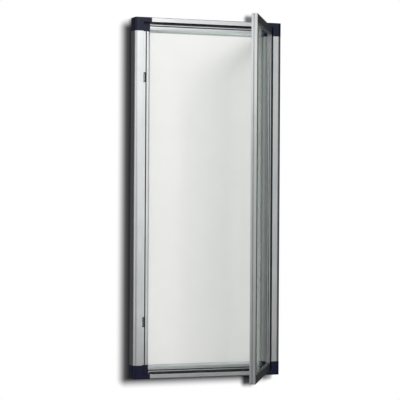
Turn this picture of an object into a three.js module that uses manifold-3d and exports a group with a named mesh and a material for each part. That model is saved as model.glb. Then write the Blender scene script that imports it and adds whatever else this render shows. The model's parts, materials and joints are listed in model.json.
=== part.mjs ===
// Wall-hung lockable notice board: an aluminium case with plastic corner caps, a white steel
// sheet to pin on with magnets, and a glazed door that turns on two pins at its right side.
// Millimetres, X right, Z up. Y = 0 is the wall, and the case stands off it towards -Y. Each
// piece is drawn about the middle of the case, and the whole is then moved down, so that the
// origin is the middle of the top rail's back face, which the case hangs by.
import * as THREE from "three";
import { mergeVertices } from "three/addons/utils/BufferGeometryUtils.js";
import Module from "manifold-3d";

const wasm = await Module();
wasm.setup();

// Whole case, over the corner caps
const CASE_WIDTH = 418;
const CASE_HEIGHT = 950;
const CASE_DEPTH = 32;
const SIDE_EDGE_RADIUS = 10;
const SIDE_EDGE_STEPS = 9;
const END_EDGE_RADIUS = 2.4;
const END_EDGE_STEPS = 4;
const CORNER_RADIUS = 3.2;
const CAP_PROUD = 0.4;

// Fits between pieces
const FIT = 0.3;
const JOINT_GAP = 0.2;
const DOOR_GAP = 0.8;
const OVERRUN = 2;

// Levels of the case section above the wall
const WALL = 1.5;
const WEB = 1.2;
const LAND_LEVEL = 16.4;
const STEP_LEVEL = 15.2;
const BEVEL_LEVEL = 12;
const STILE_CHANNEL_LEVEL = 12.4;
const RAIL_CHANNEL_LEVEL = 6.4;
const SEAL_DEPTH = 2;
const LIP_RADIUS = 0.4;

// Widths across the case section, from the outer edge inwards
const STILE = {
  edgeRadius: SIDE_EDGE_RADIUS - CAP_PROUD,
  edgeSteps: SIDE_EDGE_STEPS,
  face: 24.5,
  channel: 4,
  channelLevel: STILE_CHANNEL_LEVEL,
  rib: 6.7,
  seal: 2.8,
  land: 4,
  step: 2,
  bevel: 4,
};
const RAIL = {
  edgeRadius: END_EDGE_RADIUS - CAP_PROUD,
  edgeSteps: END_EDGE_STEPS,
  face: 12,
  channel: 5.3,
  channelLevel: RAIL_CHANNEL_LEVEL,
  rib: 2.7,
  seal: 2.7,
  land: 5.3,
  step: 2.7,
  bevel: 5.3,
};

// White steel sheet and the board behind it, both held in a slot of the case section
const SHEET_LEVEL = 6;
const SHEET_THICKNESS = 0.8;
const BOARD_THICKNESS = 3;
const SHEET_GRIP = 2.5;

// Corner caps: their reach along the rails and stiles, and the spigots that plug into both
const CAP_ALONG_RAIL = 47;
const CAP_ALONG_STILE = 36;
const CAP_RECESS_LEVEL = 15.6;
const SPIGOT_LENGTH = 30;
const SCREW_FROM_END = 15;
const SCREW_HEAD_RADIUS = 2.8;
const SCREW_RADIUS = 1.3;
const SCREW_LENGTH = 10;
const SCREW_SINK = 0.2;
const SCREW_SIDES = 16;

// Keyhole plates set into the backs of the caps
const HANGER_WIDTH = 19;
const HANGER_HEIGHT = 28;
const HANGER_THICKNESS = 1.2;
const HANGER_INSET = 3;
const KEYHOLE_RADIUS = 4.6;
const KEYHOLE_SLOT_RADIUS = 2.3;
const KEYHOLE_RISE = 8;
const HEAD_POCKET_DEPTH = 6;
const HANGER_SCREW_LENGTH = 8;

// Door frame section
const DOOR_THICKNESS = 15.2;
const DOOR_SECTION_WIDTH = 21;
const DOOR_WALL = 1.5;
const DOOR_WEB = 1.3;
const EDGE_GROOVE_WIDTH = 2.6;
const EDGE_GROOVE_DEPTH = 3;
const EDGE_GROOVE_FROM_BACK = 5.5;
const DOOR_CHAMBER_WIDTH = 10.3;
const NOSE_CHAMBER_START = 3.2;
const NOSE_CHAMBER_HEIGHT = 10;
const DOOR_BACK_STEP = 5.2;
const DOOR_EDGE_RADIUS = 0.6;
const SIGHT_BEVEL = 1.4;

// Glazing
const PANE_THICKNESS = 3;
const PANE_FROM_FRONT = 4.6;
const GLAZING_SEAL = 0.6;
const PANE_GRIP = 4.2;

// Door keys, pivot pins and their bushes
const KEY_LENGTH = 32;
const PIN_RADIUS = 2.5;
const PIN_IN_KEY = 18;
const BUSH_WALL = 1.7;
const BUSH_LENGTH = 8.5;
const PIN_IN_BUSH = 7.5;
const DOOR_OPEN_DEGREES = 61;

// Lock rod in the left stile, with two claws that swing out of the slots in the land
const ROD_FROM_SIDE = 40.5;
const ROD_LEVEL = 8.8;
const ROD_RADIUS = 2.5;
const ROD_TOP_OVER_CLAW = 40;
const CLAW_OUTER_RADIUS = 13;
const CLAW_INNER_RADIUS = 11;
const CLAW_HUB_RADIUS = 4;
const CLAW_HEIGHT = 22;
const CLAW_TIP_DEGREES = 146;
const CLAW_ROOT_DEGREES = 198;
const CLAW_ARM_WIDTH = 2;
const CLAW_SCREW_RADIUS = 1;
const UPPER_SLOT_RISE = 318;
const LOWER_SLOT_DROP = 326;
const SLOT_HEIGHT = 26;
const SLOT_START = 27.2;
const DOOR_SLOT_START = 4.5;
const DOOR_SLOT_WIDTH = 5.6;
const GUIDE_HEIGHT = 14;
const PLUG_RADIUS = 3.7;
const HOUSING_WALL = 1;
const HOUSING_LENGTH = 14;
const PLUG_SOCKET_DEPTH = 5;
const PLUG_SINK = 0.6;
const KEYWAY_LENGTH = 5;
const KEYWAY_WIDTH = 1.2;
const KEYWAY_DEPTH = 7;

// Sizes that follow from the ones above
const HALF_WIDTH = CASE_WIDTH / 2;
const HALF_HEIGHT = CASE_HEIGHT / 2;
const SEAL_LEVEL = LAND_LEVEL - SEAL_DEPTH;
const SLOT_TOP = SHEET_LEVEL + JOINT_GAP;
const SLOT_BOTTOM = SHEET_LEVEL - SHEET_THICKNESS - BOARD_THICKNESS - FIT;
const rebateWidth = (size) => size.channel + size.rib + size.seal + size.land + size.step + size.bevel;
const STILE_WIDTH = STILE.face + rebateWidth(STILE);
const RAIL_WIDTH = RAIL.face + rebateWidth(RAIL);
const STILE_LENGTH = CASE_HEIGHT - 2 * CAP_ALONG_STILE - 2 * JOINT_GAP;
const RAIL_LENGTH = CASE_WIDTH - 2 * CAP_ALONG_RAIL - 2 * JOINT_GAP;
const DOOR_WIDTH = CASE_WIDTH - 2 * (STILE.face + DOOR_GAP);
const DOOR_HEIGHT = CASE_HEIGHT - 2 * (RAIL.face + DOOR_GAP);
const DOOR_BACK = CASE_DEPTH - DOOR_THICKNESS;
const DOOR_MIDDLE = CASE_DEPTH - DOOR_THICKNESS / 2;
const NOSE_RADIUS = DOOR_THICKNESS / 2;
const PIVOT_X = DOOR_WIDTH / 2 - NOSE_RADIUS;
const CHAMBER_START = EDGE_GROOVE_DEPTH + DOOR_WEB;
const CHAMBER_END = CHAMBER_START + DOOR_CHAMBER_WIDTH;
const GLAZING_START = CHAMBER_END + DOOR_WEB;
const PANE_FRONT = CASE_DEPTH - PANE_FROM_FRONT;
const PANE_BACK = PANE_FRONT - PANE_THICKNESS;
const GLAZING_GAP = GLAZING_SEAL + 2 * JOINT_GAP;
const BUSH_RADIUS = PIN_RADIUS + FIT + BUSH_WALL;
const HOUSING_RADIUS = PLUG_RADIUS + FIT + HOUSING_WALL;
const ROD_X = ROD_FROM_SIDE - HALF_WIDTH;

// Finishes
const ALUMINIUM = { color: 0xc9cbcc, roughness: 0.34, metalness: 0.9 };
const NAVY_PLASTIC = { color: 0x14172b, roughness: 0.3, metalness: 0 };
const WHITE_ENAMEL = { color: 0xf2f3f1, roughness: 0.25, metalness: 0 };
const FIBREBOARD = { color: 0x7a6046, roughness: 0.85, metalness: 0 };
const RUBBER = { color: 0x151516, roughness: 0.8, metalness: 0 };
const STEEL = { color: 0xa6a8aa, roughness: 0.35, metalness: 1 };
const NYLON = { color: 0xe4e2da, roughness: 0.5, metalness: 0 };
const BRASS = { color: 0xb59a58, roughness: 0.3, metalness: 1 };
const CLEAR_PANE = { color: 0xe6eeee, roughness: 0.05, metalness: 0 };

// A closed geometry as a solid that can be joined and cut
function solid(geometry) {
  const bare = geometry.clone();
  bare.deleteAttribute("normal");
  bare.deleteAttribute("uv");
  const merged = mergeVertices(bare);
  return new wasm.Manifold(
    new wasm.Mesh({
      numProp: 3,
      vertProperties: merged.attributes.position.array,
      triVerts: new Uint32Array(merged.index.array),
    }),
  );
}

// A solid as a geometry with flat faces
function geometryOf(body) {
  const mesh = body.getMesh();
  const geometry = new THREE.BufferGeometry();
  geometry.setAttribute("position", new THREE.BufferAttribute(mesh.vertProperties, 3));
  geometry.setIndex(new THREE.BufferAttribute(mesh.triVerts, 1));
  geometry.computeVertexNormals();
  return geometry;
}

function join(bodies) {
  return bodies.reduce((whole, body) => whole.add(body));
}

function cut(body, tools) {
  return tools.reduce((rest, tool) => rest.subtract(tool), body);
}

// Box between two values of x, of the height above the wall, and of z, each in either order
function block([x0, x1], [t0, t1], [z0, z1]) {
  const box = new THREE.BoxGeometry(Math.abs(x1 - x0), Math.abs(t1 - t0), Math.abs(z1 - z0));
  return solid(box.translate((x0 + x1) / 2, -(t0 + t1) / 2, (z0 + z1) / 2));
}

// Upright cylinder at x and at a height above the wall
function upright(radius, x, level, [z0, z1], sides = 32) {
  const bar = new THREE.CylinderGeometry(radius, radius, Math.abs(z1 - z0), sides).rotateX(Math.PI / 2);
  return solid(bar.translate(x, -level, (z0 + z1) / 2));
}

// Cylinder square to the wall
function bored(radius, x, [t0, t1], z, sides = SCREW_SIDES) {
  const bar = new THREE.CylinderGeometry(radius, radius, Math.abs(t1 - t0), sides);
  return solid(bar.translate(x, -(t0 + t1) / 2, z));
}

// Closed outline through points given as [distance from the outer edge, height above the wall]
function outline(points) {
  return new THREE.Shape(points.map(([across, level]) => new THREE.Vector2(across, -level)));
}

// Rounded corner of an outline, as points from one angle to another
function roundCorner(across, level, radius, fromDegrees, toDegrees, steps = 5) {
  return Array.from({ length: steps + 1 }, (_, i) => {
    const angle = THREE.MathUtils.degToRad(fromDegrees + ((toDegrees - fromDegrees) * i) / steps);
    return [across + radius * Math.cos(angle), level + radius * Math.sin(angle)];
  });
}

// A section run along Z, centred on Z = 0
function run(section, length) {
  const bar = new THREE.ExtrudeGeometry(section, { depth: length, bevelEnabled: false });
  return bar.translate(0, 0, -length / 2);
}

// Section of the case: a deep box at the outside, then the rebate that the door closes into,
// with a channel, a rib, the seal groove, a land, a step and a bevel down to the white sheet
function caseSection(size) {
  const rib = size.face + size.channel;
  const seal = rib + size.rib;
  const land = seal + size.seal;
  const step = land + size.land;
  const bevel = step + size.step;
  const end = bevel + size.bevel;
  const front = CASE_DEPTH - CAP_PROUD;
  const outerEdge = (radius) =>
    roundCorner(CAP_PROUD + size.edgeRadius, front - size.edgeRadius, radius, 180, 90, size.edgeSteps);
  const section = outline([
    [CAP_PROUD, 0],
    ...outerEdge(size.edgeRadius),
    ...roundCorner(size.face - LIP_RADIUS, front - LIP_RADIUS, LIP_RADIUS, 90, 0, 3),
    [size.face, size.channelLevel],
    [rib, size.channelLevel],
    [rib, LAND_LEVEL],
    [seal, LAND_LEVEL],
    [seal, SEAL_LEVEL],
    [land, SEAL_LEVEL],
    [land, LAND_LEVEL],
    [step, LAND_LEVEL],
    [step, STEP_LEVEL],
    [bevel, STEP_LEVEL],
    [end, BEVEL_LEVEL],
    [end, SLOT_TOP],
    [end - SHEET_GRIP, SLOT_TOP],
    [end - SHEET_GRIP, SLOT_BOTTOM],
    [end, SLOT_BOTTOM],
    [end, 0],
  ]);
  section.holes.push(
    outline([
      [CAP_PROUD + WALL, WALL],
      ...outerEdge(size.edgeRadius - WALL),
      [size.face - WALL, front - WALL],
      [size.face - WALL, WALL],
    ]),
  );
  const inner = end - SHEET_GRIP - WEB;
  const wideRib = [
    [rib + WEB, size.channelLevel - WEB],
    [rib + WEB, LAND_LEVEL - WEB],
    [seal - WEB, LAND_LEVEL - WEB],
  ];
  const underRib = size.rib > 3 * WEB ? wideRib : [[seal - WEB, size.channelLevel - WEB]];
  section.holes.push(
    outline([
      [size.face, WALL],
      [size.face, size.channelLevel - WEB],
      ...underRib,
      [seal - WEB, SEAL_LEVEL - WEB],
      [bevel, SEAL_LEVEL - WEB],
      [end - WEB, BEVEL_LEVEL - WEB],
      [end - WEB, SLOT_TOP + WEB],
      [inner, SLOT_TOP + WEB],
      [inner, WALL],
    ]),
  );
  return section;
}

// Holes for the two screws that hold a run of the case to the spigots of its caps
function screwHoles(across, length) {
  const fromMiddle = length / 2 - SCREW_FROM_END;
  return [-fromMiddle, fromMiddle].map((z) =>
    bored(SCREW_HEAD_RADIUS + FIT, across, [-OVERRUN, WALL + OVERRUN / 2], z),
  );
}

function stileGeometry() {
  return cut(solid(run(caseSection(STILE), STILE_LENGTH)), screwHoles(STILE.face / 2, STILE_LENGTH));
}

function railGeometry() {
  return cut(solid(run(caseSection(RAIL), RAIL_LENGTH)), screwHoles(RAIL.face / 2, RAIL_LENGTH));
}

// The left stile has two slots through its land, which the claws of the lock swing out of
function clawSlots() {
  const end = STILE.face + STILE.channel + STILE.rib;
  const levels = [WALL + OVERRUN, LAND_LEVEL + OVERRUN];
  return [UPPER_SLOT_RISE, -LOWER_SLOT_DROP].map((z) =>
    block([SLOT_START, end], levels, [z - SLOT_HEIGHT / 2, z + SLOT_HEIGHT / 2]),
  );
}

// Rubber strip with a rounded crown, in the seal groove of a stile or rail
function sealGeometry(size, length) {
  const start = size.face + size.channel + size.rib + JOINT_GAP;
  const end = start + size.seal - 2 * JOINT_GAP;
  const half = (end - start) / 2;
  const crown = DOOR_BACK - FIT;
  return run(
    outline([
      [start, SEAL_LEVEL + JOINT_GAP],
      ...roundCorner(start + half, crown - half, half, 180, 0, 8),
      [end, SEAL_LEVEL + JOINT_GAP],
    ]),
    length - 2 * JOINT_GAP,
  );
}

// Outer form of the whole case with its rounded front edges and corners
function caseEnvelope() {
  const rounded = (width, radius, steps) =>
    outline([
      [-width / 2, -OVERRUN],
      ...roundCorner(radius - width / 2, CASE_DEPTH - radius, radius, 180, 90, steps),
      ...roundCorner(width / 2 - radius, CASE_DEPTH - radius, radius, 90, 0, steps),
      [width / 2, -OVERRUN],
    ]);
  const inX = HALF_WIDTH - CORNER_RADIUS;
  const inZ = HALF_HEIGHT - CORNER_RADIUS;
  const plan = new THREE.Shape(
    [
      ...roundCorner(inX, inZ, CORNER_RADIUS, 0, 90),
      ...roundCorner(-inX, inZ, CORNER_RADIUS, 90, 180),
      ...roundCorner(-inX, -inZ, CORNER_RADIUS, 180, 270),
      ...roundCorner(inX, -inZ, CORNER_RADIUS, 270, 360),
    ].map(([x, z]) => new THREE.Vector2(x, z)),
  );
  const sides = rounded(CASE_WIDTH, SIDE_EDGE_RADIUS, SIDE_EDGE_STEPS);
  const ends = rounded(CASE_HEIGHT, END_EDGE_RADIUS, END_EDGE_STEPS);
  const across = solid(run(sides, CASE_HEIGHT + OVERRUN));
  const along = solid(run(ends, CASE_WIDTH + OVERRUN).rotateY(Math.PI / 2));
  const face = solid(run(plan, 2 * (CASE_DEPTH + OVERRUN)).rotateX(Math.PI / 2));
  return across.intersect(along).intersect(face);
}

// Plan outline of a keyhole: a round hole with a narrower slot above it
function keyhole(radius, slotRadius, x, z, [t0, t1]) {
  return join([
    bored(radius, x, [t0, t1], z, 24),
    block([x - slotRadius, x + slotRadius], [t0, t1], [z, z + KEYHOLE_RISE]),
    bored(slotRadius, x, [t0, t1], z + KEYHOLE_RISE, 24),
  ]);
}

// Centre of the keyhole and of the screw of the plate in one corner
function hangerPlace(sideX, sideZ) {
  const x = sideX * (HALF_WIDTH - HANGER_INSET - HANGER_WIDTH / 2);
  const middle = sideZ * (HALF_HEIGHT - HANGER_INSET - HANGER_HEIGHT / 2);
  const screw = middle + HANGER_HEIGHT / 2 - SCREW_HEAD_RADIUS - FIT;
  return { x, middle, hole: middle - HANGER_HEIGHT / 4, screw };
}

function hangerPlate(sideX, sideZ) {
  const { x, middle, hole, screw } = hangerPlace(sideX, sideZ);
  const halfWidth = HANGER_WIDTH / 2;
  const halfHeight = HANGER_HEIGHT / 2;
  const levels = [JOINT_GAP, JOINT_GAP + HANGER_THICKNESS];
  const through = [-OVERRUN, OVERRUN * 2];
  return cut(block([x - halfWidth, x + halfWidth], levels, [middle - halfHeight, middle + halfHeight]), [
    keyhole(KEYHOLE_RADIUS, KEYHOLE_SLOT_RADIUS, x, hole, through),
    bored(SCREW_RADIUS + FIT, x, through, screw),
  ]);
}

// Screw square to the wall, with a flat head towards the wall
function screwGeometry(headRadius, length, headLevel) {
  const profile = [
    [0, 0],
    [headRadius, 0],
    [headRadius, headRadius / 8],
    [SCREW_RADIUS, headRadius / 2],
    [SCREW_RADIUS, length - SCREW_RADIUS],
    [0, length],
  ].map(([radius, along]) => new THREE.Vector2(radius, -(headLevel + along)));
  return new THREE.LatheGeometry(profile.reverse(), SCREW_SIDES);
}

// Plastic corner: an L on the front, a recess that the corner of the door closes into, and two
// spigots. A right-hand cap takes the bush of a pivot pin, and the lower left one the lock.
function capSolid(sideX, sideZ, envelope) {
  const x = (across) => sideX * (HALF_WIDTH - across);
  const z = (down) => sideZ * (HALF_HEIGHT - down);
  const spigotFront = CASE_DEPTH - CAP_PROUD - WALL - FIT;
  const outer = CAP_PROUD + WALL + FIT;
  const inner = WALL + FIT;
  const body = join([
    block([x(0), x(STILE.face)], [0, CASE_DEPTH], [z(0), z(CAP_ALONG_STILE)]),
    block([x(0), x(CAP_ALONG_RAIL)], [0, CASE_DEPTH], [z(0), z(RAIL.face)]),
    block([x(0), x(CAP_ALONG_RAIL)], [0, CAP_RECESS_LEVEL], [z(0), z(CAP_ALONG_STILE)]),
  ]).intersect(envelope);
  const edge = [SIDE_EDGE_RADIUS, CASE_DEPTH - SIDE_EDGE_RADIUS, SIDE_EDGE_RADIUS - outer];
  const stileSection = outline([
    [outer, inner],
    ...roundCorner(...edge, 180, 90, SIDE_EDGE_STEPS),
    [STILE.face - inner, spigotFront],
    [STILE.face - inner, inner],
  ]);
  const spigotMiddle = z(CAP_ALONG_STILE + (SPIGOT_LENGTH - OVERRUN) / 2);
  const stileBar = run(stileSection, SPIGOT_LENGTH + OVERRUN).translate(-HALF_WIDTH, 0, spigotMiddle);
  const stileSpigot = solid(stileBar);
  const spigots = [
    sideX > 0 ? stileSpigot.mirror([1, 0, 0]) : stileSpigot,
    block(
      [x(CAP_ALONG_RAIL - OVERRUN), x(CAP_ALONG_RAIL + SPIGOT_LENGTH)],
      [inner, spigotFront],
      [z(outer), z(RAIL.face - inner)],
    ),
  ];
  const { x: plateX, middle, hole, screw } = hangerPlace(sideX, sideZ);
  const plateRise = [middle - HANGER_HEIGHT / 2 - FIT, middle + HANGER_HEIGHT / 2 + FIT];
  const halfWidth = HANGER_WIDTH / 2 + FIT;
  const seat = JOINT_GAP + HANGER_THICKNESS + FIT;
  const screwDepth = [0, inner + SCREW_LENGTH];
  const cuts = [
    block(
      [x(STILE_WIDTH - SHEET_GRIP), x(STILE_WIDTH)],
      [SLOT_BOTTOM, SLOT_TOP],
      [z(RAIL_WIDTH - SHEET_GRIP), z(RAIL_WIDTH + OVERRUN)],
    ),
    block([plateX - halfWidth, plateX + halfWidth], [-OVERRUN, seat], plateRise),
    keyhole(KEYHOLE_RADIUS + FIT, KEYHOLE_RADIUS + FIT, plateX, hole, [0, HEAD_POCKET_DEPTH]),
    bored(SCREW_RADIUS + FIT, plateX, [0, HANGER_SCREW_LENGTH + OVERRUN], screw),
    bored(SCREW_RADIUS + FIT, x(STILE.face / 2), screwDepth, z(CAP_ALONG_STILE + JOINT_GAP + SCREW_FROM_END)),
    bored(SCREW_RADIUS + FIT, x(CAP_ALONG_RAIL + JOINT_GAP + SCREW_FROM_END), screwDepth, z(RAIL.face / 2)),
  ];
  if (sideX > 0) {
    const bushSeat = [z(RAIL.face - BUSH_LENGTH), z(RAIL.face + OVERRUN)];
    cuts.push(upright(BUSH_RADIUS + FIT, PIVOT_X, DOOR_MIDDLE, bushSeat));
  } else if (sideZ < 0) {
    cuts.push(upright(HOUSING_RADIUS + FIT, ROD_X, ROD_LEVEL, [z(-OVERRUN), z(HOUSING_LENGTH + FIT)]));
    cuts.push(upright(ROD_RADIUS + FIT, ROD_X, ROD_LEVEL, [z(0), z(CAP_ALONG_STILE + OVERRUN)]));
  }
  return cut(join([body, ...spigots]), cuts);
}

// Nylon sleeve in a right-hand cap, for a pivot pin of the door
function bushSolid(sideZ) {
  const start = HALF_HEIGHT - RAIL.face;
  const end = start + BUSH_LENGTH - FIT;
  return upright(BUSH_RADIUS, PIVOT_X, DOOR_MIDDLE, [sideZ * start, sideZ * end]).subtract(
    upright(PIN_RADIUS + FIT, PIVOT_X, DOOR_MIDDLE, [sideZ * (start - OVERRUN), sideZ * (end + OVERRUN)]),
  );
}

function sheetSolid(back, front) {
  const x = HALF_WIDTH - STILE_WIDTH + SHEET_GRIP - FIT;
  const z = HALF_HEIGHT - RAIL_WIDTH + SHEET_GRIP - FIT;
  return block([-x, x], [back, front], [-z, z]);
}

// Points round the glazing slot of the door section, from the back to the front
function glazingSide() {
  return [
    [GLAZING_START + DOOR_WEB, DOOR_BACK],
    [GLAZING_START + DOOR_WEB, DOOR_BACK + DOOR_BACK_STEP],
    [DOOR_SECTION_WIDTH, DOOR_BACK + DOOR_BACK_STEP],
    [DOOR_SECTION_WIDTH, PANE_BACK - GLAZING_GAP],
    [GLAZING_START, PANE_BACK - GLAZING_GAP],
    [GLAZING_START, PANE_FRONT + GLAZING_GAP],
    [DOOR_SECTION_WIDTH, PANE_FRONT + GLAZING_GAP],
    [DOOR_SECTION_WIDTH, CASE_DEPTH - SIGHT_BEVEL],
    [DOOR_SECTION_WIDTH - SIGHT_BEVEL, CASE_DEPTH],
  ];
}

// Section of the door's free stile and rails, with a groove along the outer edge
function doorSection() {
  const low = DOOR_BACK + EDGE_GROOVE_FROM_BACK;
  const high = low + EDGE_GROOVE_WIDTH;
  const section = outline([
    ...glazingSide(),
    ...roundCorner(DOOR_EDGE_RADIUS, CASE_DEPTH - DOOR_EDGE_RADIUS, DOOR_EDGE_RADIUS, 90, 180, 3),
    [0, high],
    [EDGE_GROOVE_DEPTH, high],
    [EDGE_GROOVE_DEPTH, low],
    [0, low],
    ...roundCorner(DOOR_EDGE_RADIUS, DOOR_BACK + DOOR_EDGE_RADIUS, DOOR_EDGE_RADIUS, 180, 270, 3),
  ]);
  section.holes.push(
    outline([
      [CHAMBER_START, DOOR_BACK + DOOR_WALL],
      [CHAMBER_START, CASE_DEPTH - DOOR_WALL],
      [CHAMBER_END, CASE_DEPTH - DOOR_WALL],
      [CHAMBER_END, DOOR_BACK + DOOR_WALL],
    ]),
  );
  return section;
}

// Section of the door's hinge stile, whose outer edge is a half round about the pivot
function noseSection() {
  const section = outline([
    ...glazingSide(),
    ...roundCorner(NOSE_RADIUS, DOOR_MIDDLE, NOSE_RADIUS, 90, 270, 20),
  ]);
  const half = NOSE_CHAMBER_HEIGHT / 2;
  section.holes.push(
    outline([
      [NOSE_CHAMBER_START, DOOR_MIDDLE - half],
      [NOSE_CHAMBER_START, DOOR_MIDDLE + half],
      [CHAMBER_END, DOOR_MIDDLE + half],
      [CHAMBER_END, DOOR_MIDDLE - half],
    ]),
  );
  return section;
}

// A run of door section with both ends mitred, so that the outer edge has the full length
function mitred(section, length) {
  const geometry = run(section, length);
  const place = geometry.attributes.position;
  for (let i = 0; i < place.count; i++) {
    const back = place.getX(i) + JOINT_GAP / 2;
    place.setZ(i, place.getZ(i) > 0 ? length / 2 - back : back - length / 2);
  }
  return solid(geometry);
}

// Slots through the back of the free stile, which the claws hook into. Counted from its outer edge.
function doorClawSlots() {
  return [UPPER_SLOT_RISE, -LOWER_SLOT_DROP].map((z) =>
    block(
      [DOOR_SLOT_START, DOOR_SLOT_START + DOOR_SLOT_WIDTH],
      [DOOR_BACK - OVERRUN, DOOR_BACK + DOOR_WALL + OVERRUN / 2],
      [z - SLOT_HEIGHT / 2, z + SLOT_HEIGHT / 2],
    ),
  );
}

// A door rail, turned to its place at the top or bottom, rounded over the hinge side and bored for its pin
function doorRailSolid(sideZ) {
  const bar = mitred(doorSection(), DOOR_WIDTH)
    .rotate([0, sideZ * 90, 0])
    .translate([0, 0, (sideZ * DOOR_HEIGHT) / 2]);
  const far = HALF_WIDTH;
  const round = outline([
    [-far, CASE_DEPTH],
    ...roundCorner(PIVOT_X, DOOR_MIDDLE, NOSE_RADIUS, 90, -90, 20),
    [-far, DOOR_BACK],
  ]);
  const start = sideZ * (DOOR_HEIGHT / 2 - CHAMBER_START - OVERRUN);
  const pinHole = upright(PIN_RADIUS + FIT, PIVOT_X, DOOR_MIDDLE, [start, sideZ * HALF_HEIGHT]);
  return bar.intersect(solid(run(round, CASE_HEIGHT))).subtract(pinHole);
}

// Cast corner key inside the door frame: one leg in the stile and one in the rail
function doorKeySolid(sideX, sideZ) {
  const x = (across) => sideX * (DOOR_WIDTH / 2 - across);
  const z = (down) => sideZ * (DOOR_HEIGHT / 2 - down);
  const start = (sideX > 0 ? NOSE_CHAMBER_START : CHAMBER_START) + FIT;
  const half = NOSE_CHAMBER_HEIGHT / 2 - FIT;
  const levels = [DOOR_MIDDLE - half, DOOR_MIDDLE + half];
  const near = CHAMBER_START + FIT;
  const far = CHAMBER_START + KEY_LENGTH;
  const key = join([
    block([x(start), x(CHAMBER_END - FIT)], levels, [z(near), z(far)]),
    block([x(near), x(far)], levels, [z(near), z(CHAMBER_END - FIT)]),
  ]);
  if (sideX < 0) return key;
  return key.subtract(
    upright(PIN_RADIUS + FIT, PIVOT_X, DOOR_MIDDLE, [z(0), z(CHAMBER_START + PIN_IN_KEY)]),
  );
}

function pinSolid(sideZ) {
  const start = DOOR_HEIGHT / 2 - CHAMBER_START - PIN_IN_KEY + FIT;
  const end = HALF_HEIGHT - RAIL.face + PIN_IN_BUSH;
  return upright(PIN_RADIUS, PIVOT_X, DOOR_MIDDLE, [sideZ * start, sideZ * end], 24);
}

// Half sizes of the pane, which reaches into the glazing slot all round
const PANE_HALF_WIDTH = DOOR_WIDTH / 2 - DOOR_SECTION_WIDTH + PANE_GRIP;
const PANE_HALF_HEIGHT = DOOR_HEIGHT / 2 - DOOR_SECTION_WIDTH + PANE_GRIP;

function paneSolid() {
  return block(
    [-PANE_HALF_WIDTH, PANE_HALF_WIDTH],
    [PANE_BACK, PANE_FRONT],
    [-PANE_HALF_HEIGHT, PANE_HALF_HEIGHT],
  );
}

// Rubber channel round the edge of the pane
function glazingSealSolid() {
  const ring = (grow, levels) =>
    block(
      [-PANE_HALF_WIDTH - grow, PANE_HALF_WIDTH + grow],
      levels,
      [-PANE_HALF_HEIGHT - grow, PANE_HALF_HEIGHT + grow],
    );
  const back = PANE_BACK - GLAZING_GAP + JOINT_GAP;
  const front = PANE_FRONT + GLAZING_GAP - JOINT_GAP;
  return cut(ring(GLAZING_SEAL, [back, front]), [
    ring(JOINT_GAP, [PANE_BACK - JOINT_GAP, PANE_FRONT + JOINT_GAP]),
    ring(-PANE_GRIP, [back - OVERRUN, front + OVERRUN]),
  ]);
}

// Claw of the lock: an arc about the rod, so that it leaves and enters each slot along its own path
function clawSolid(z) {
  const tip = THREE.MathUtils.degToRad(CLAW_TIP_DEGREES);
  const root = THREE.MathUtils.degToRad(CLAW_ROOT_DEGREES);
  const heel = root + CLAW_ARM_WIDTH / CLAW_INNER_RADIUS;
  const arc = new THREE.Shape();
  arc.absarc(0, 0, CLAW_OUTER_RADIUS, -tip, -heel, true);
  arc.absarc(0, 0, CLAW_INNER_RADIUS, -heel, -tip, false);
  const hook = new THREE.ExtrudeGeometry(arc, { depth: CLAW_HEIGHT, bevelEnabled: false, curveSegments: 14 });
  const reach = (CLAW_OUTER_RADIUS + CLAW_INNER_RADIUS) / 2;
  const arm = new THREE.BoxGeometry(reach, CLAW_ARM_WIDTH, CLAW_HEIGHT)
    .translate(reach / 2, -CLAW_ARM_WIDTH / 2, 0)
    .rotateZ(-root);
  const range = [z - CLAW_HEIGHT / 2, z + CLAW_HEIGHT / 2];
  const bore = [z - CLAW_HEIGHT, z + CLAW_HEIGHT];
  const clear = CLAW_SCREW_RADIUS + FIT;
  const screwHole = new THREE.CylinderGeometry(clear, clear, 2 * CLAW_HUB_RADIUS, 12)
    .rotateZ(Math.PI / 2)
    .translate(ROD_X + CLAW_HUB_RADIUS, -ROD_LEVEL, z);
  return cut(
    join([
      solid(hook.translate(ROD_X, -ROD_LEVEL, z - CLAW_HEIGHT / 2)),
      solid(arm.translate(ROD_X, -ROD_LEVEL, z)),
      upright(CLAW_HUB_RADIUS, ROD_X, ROD_LEVEL, range, 24),
    ]),
    [upright(ROD_RADIUS + FIT, ROD_X, ROD_LEVEL, bore), solid(screwHole)],
  );
}

// Set screw that grips the rod through the side of a claw's hub
function clawScrewGeometry(z) {
  const start = ROD_RADIUS + JOINT_GAP;
  const length = CLAW_HUB_RADIUS - start;
  return new THREE.CylinderGeometry(CLAW_SCREW_RADIUS, CLAW_SCREW_RADIUS, length, 12)
    .rotateZ(Math.PI / 2)
    .translate(ROD_X + start + length / 2, -ROD_LEVEL, z);
}

// Nylon block in the inner chamber of the stile, for the rod to turn in
function guideSolid(z) {
  const side = -HALF_WIDTH;
  const range = [z - GUIDE_HEIGHT / 2, z + GUIDE_HEIGHT / 2];
  const inner = side + STILE_WIDTH - SHEET_GRIP - WEB - FIT;
  return join([
    block([side + STILE.face + FIT, inner], [WALL + FIT, STILE.channelLevel - WEB - FIT], range),
    block([ROD_X - CLAW_HUB_RADIUS, inner], [WALL + FIT, SEAL_LEVEL - WEB - FIT], range),
  ]).subtract(upright(ROD_RADIUS + FIT, ROD_X, ROD_LEVEL, [z - GUIDE_HEIGHT, z + GUIDE_HEIGHT]));
}

const ROD_FOOT = HOUSING_LENGTH - HALF_HEIGHT - PLUG_SOCKET_DEPTH + FIT;
const ROD_TOP = UPPER_SLOT_RISE + ROD_TOP_OVER_CLAW;

function rodSolid() {
  return upright(ROD_RADIUS, ROD_X, ROD_LEVEL, [ROD_FOOT, ROD_TOP], 24);
}

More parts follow.
